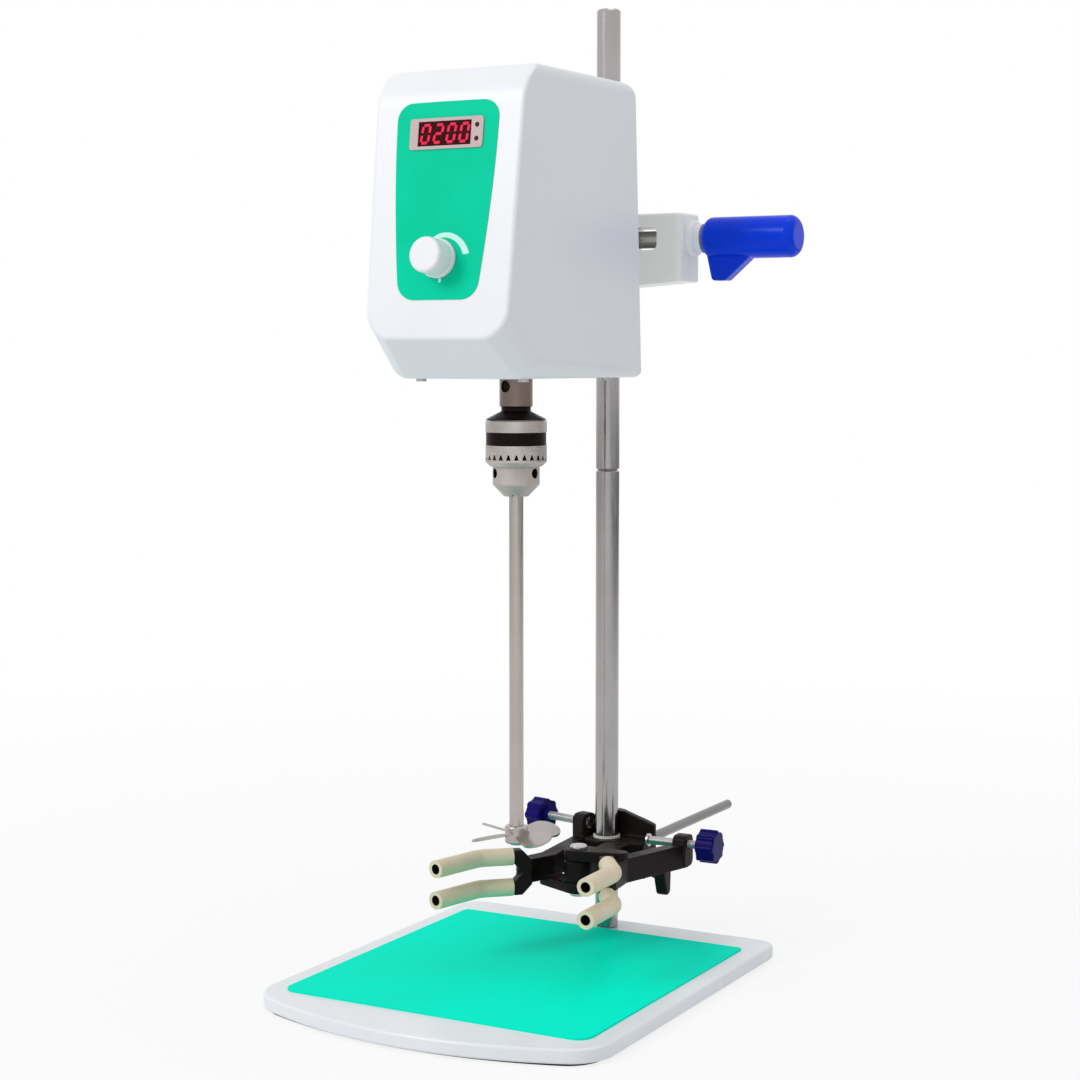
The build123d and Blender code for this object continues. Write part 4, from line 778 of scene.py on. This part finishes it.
# The boss is cut down in front of the column, and its bush all round, just above the boss.
boss_top, bush_top = 65, 66
boss_front = ((-30, 60, boss_top), (60, 117, 95))
bush_head = ((-30, 60, bush_top), (60, 160, 95))
soft_copy("clamp_boss", "clamp", black_cast, 0.5, 7, boss_front)
soft_copy("clamp_jaw_left", "jaw_left", black_cast, 0.5, 6)
soft_copy("clamp_jaw_right", "jaw_right", black_cast, 0.5, 6)
soft_copy("boss_wing", "wing_screw", dark_plastic, 0.45, 5)
soft_copy("clamp_bush", "boss_bush", natural_plastic, cut=bush_head)

# %% [markdown]
# ## Floor and light
# The background is plain and almost white, and the object keeps a soft shadow. One large soft
# lamp from the front left lights the fascia, so the right side falls a little darker, as in
# the photograph. A weak one above lifts the upper faces. The surroundings do the rest.

# %% Floor


def seen_ray(camera_ray):
    """1 for rays that show a surface, straight, mirrored or through glass, and 0 for the rays
    that only carry its light to other surfaces."""
    return (camera_ray + camera_ray.other("Is Glossy Ray") + camera_ray.other("Is Transmission Ray")).clamp()


def pale_floor():
    """Matt near the object, where it takes the shadow, and plain white further out. Steel
    mirrors it darker far to the left and right, as a room is."""
    material, place = blank("pale_floor")
    radius = length(place)
    camera_ray = place.make("ShaderNodeLightPath", output="Is Camera Ray")
    speck = noise(place, 30.0, 2.0)
    plain = shiny(place, blend(speck, (0.80, 0.80, 0.81), (0.82, 0.82, 0.83)), 0.9)
    side = dot(place, tuple(rightward))
    dusk = spread(side, 1.1, 2.7, 0.0, 0.85) + spread(side, -4.5, -1.0, 0.6, 0.0)
    glow = blend(dusk * camera_ray.other("Is Glossy Ray"), (1.0, 1.0, 1.0), (0.0, 0.0, 0.0))
    white = place.make("ShaderNodeEmission", {}, {"Color": glow})
    share = seen_ray(camera_ray) * spread(radius, 0.2, 1.2, 0.82, 1.0)
    return finish(material, place.make("ShaderNodeMixShader", {}, {0: share, 1: plain, 2: white}))


floor_width, floor_drop = 16.0, 0.00005
bpy.ops.mesh.primitive_plane_add(size=floor_width, location=(0, 0, -floor_drop))
floor = bpy.context.object
floor.name = "floor"
floor.data.materials.append(pale_floor())
print("floor", tuple(round(size, 1) for size in floor.dimensions))

# %% Surroundings and lamps
fill = 0.67
world = bpy.data.worlds.new("surroundings")
bpy.context.scene.world = world
world.use_nodes = True
world.node_tree.nodes.clear()
seen = seen_ray(Wire(world.node_tree.nodes.new("ShaderNodeLightPath").outputs["Is Camera Ray"]))
strength = seen * (1.0 - fill) + fill
tone = blend(seen, (0.955, 0.98, 1.0), (1.0, 1.0, 1.0))
light = seen.make("ShaderNodeBackground", {}, {"Color": tone, "Strength": strength})
output = world.node_tree.nodes.new("ShaderNodeOutputWorld")
world.node_tree.links.new(light.socket, output.inputs["Surface"])


def soft_lamp(name, place, target, width, power):
    lamp = bpy.data.lights.new(name, "AREA")
    lamp.shape = "DISK"
    lamp.size = width
    lamp.energy = power
    lamp_object = bpy.data.objects.new(name, lamp)
    bpy.context.collection.objects.link(lamp_object)
    lamp_object.location = place
    aim = Vector(target) - Vector(place)
    lamp_object.rotation_euler = aim.to_track_quat("-Z", "Y").to_euler()


soft_lamp("main_lamp", (-0.9, -1.7, 1.5), (0, 0, 0.35), 0.9, 19.2)
soft_lamp("top_lamp", (0.3, 0.3, 2.0), (0, 0, 0.2), 1.0, 3.5)
bpy.context.scene.view_settings.view_transform = "Standard"
print("lamps", len(bpy.data.lights))

# %% End
print("scene ready")
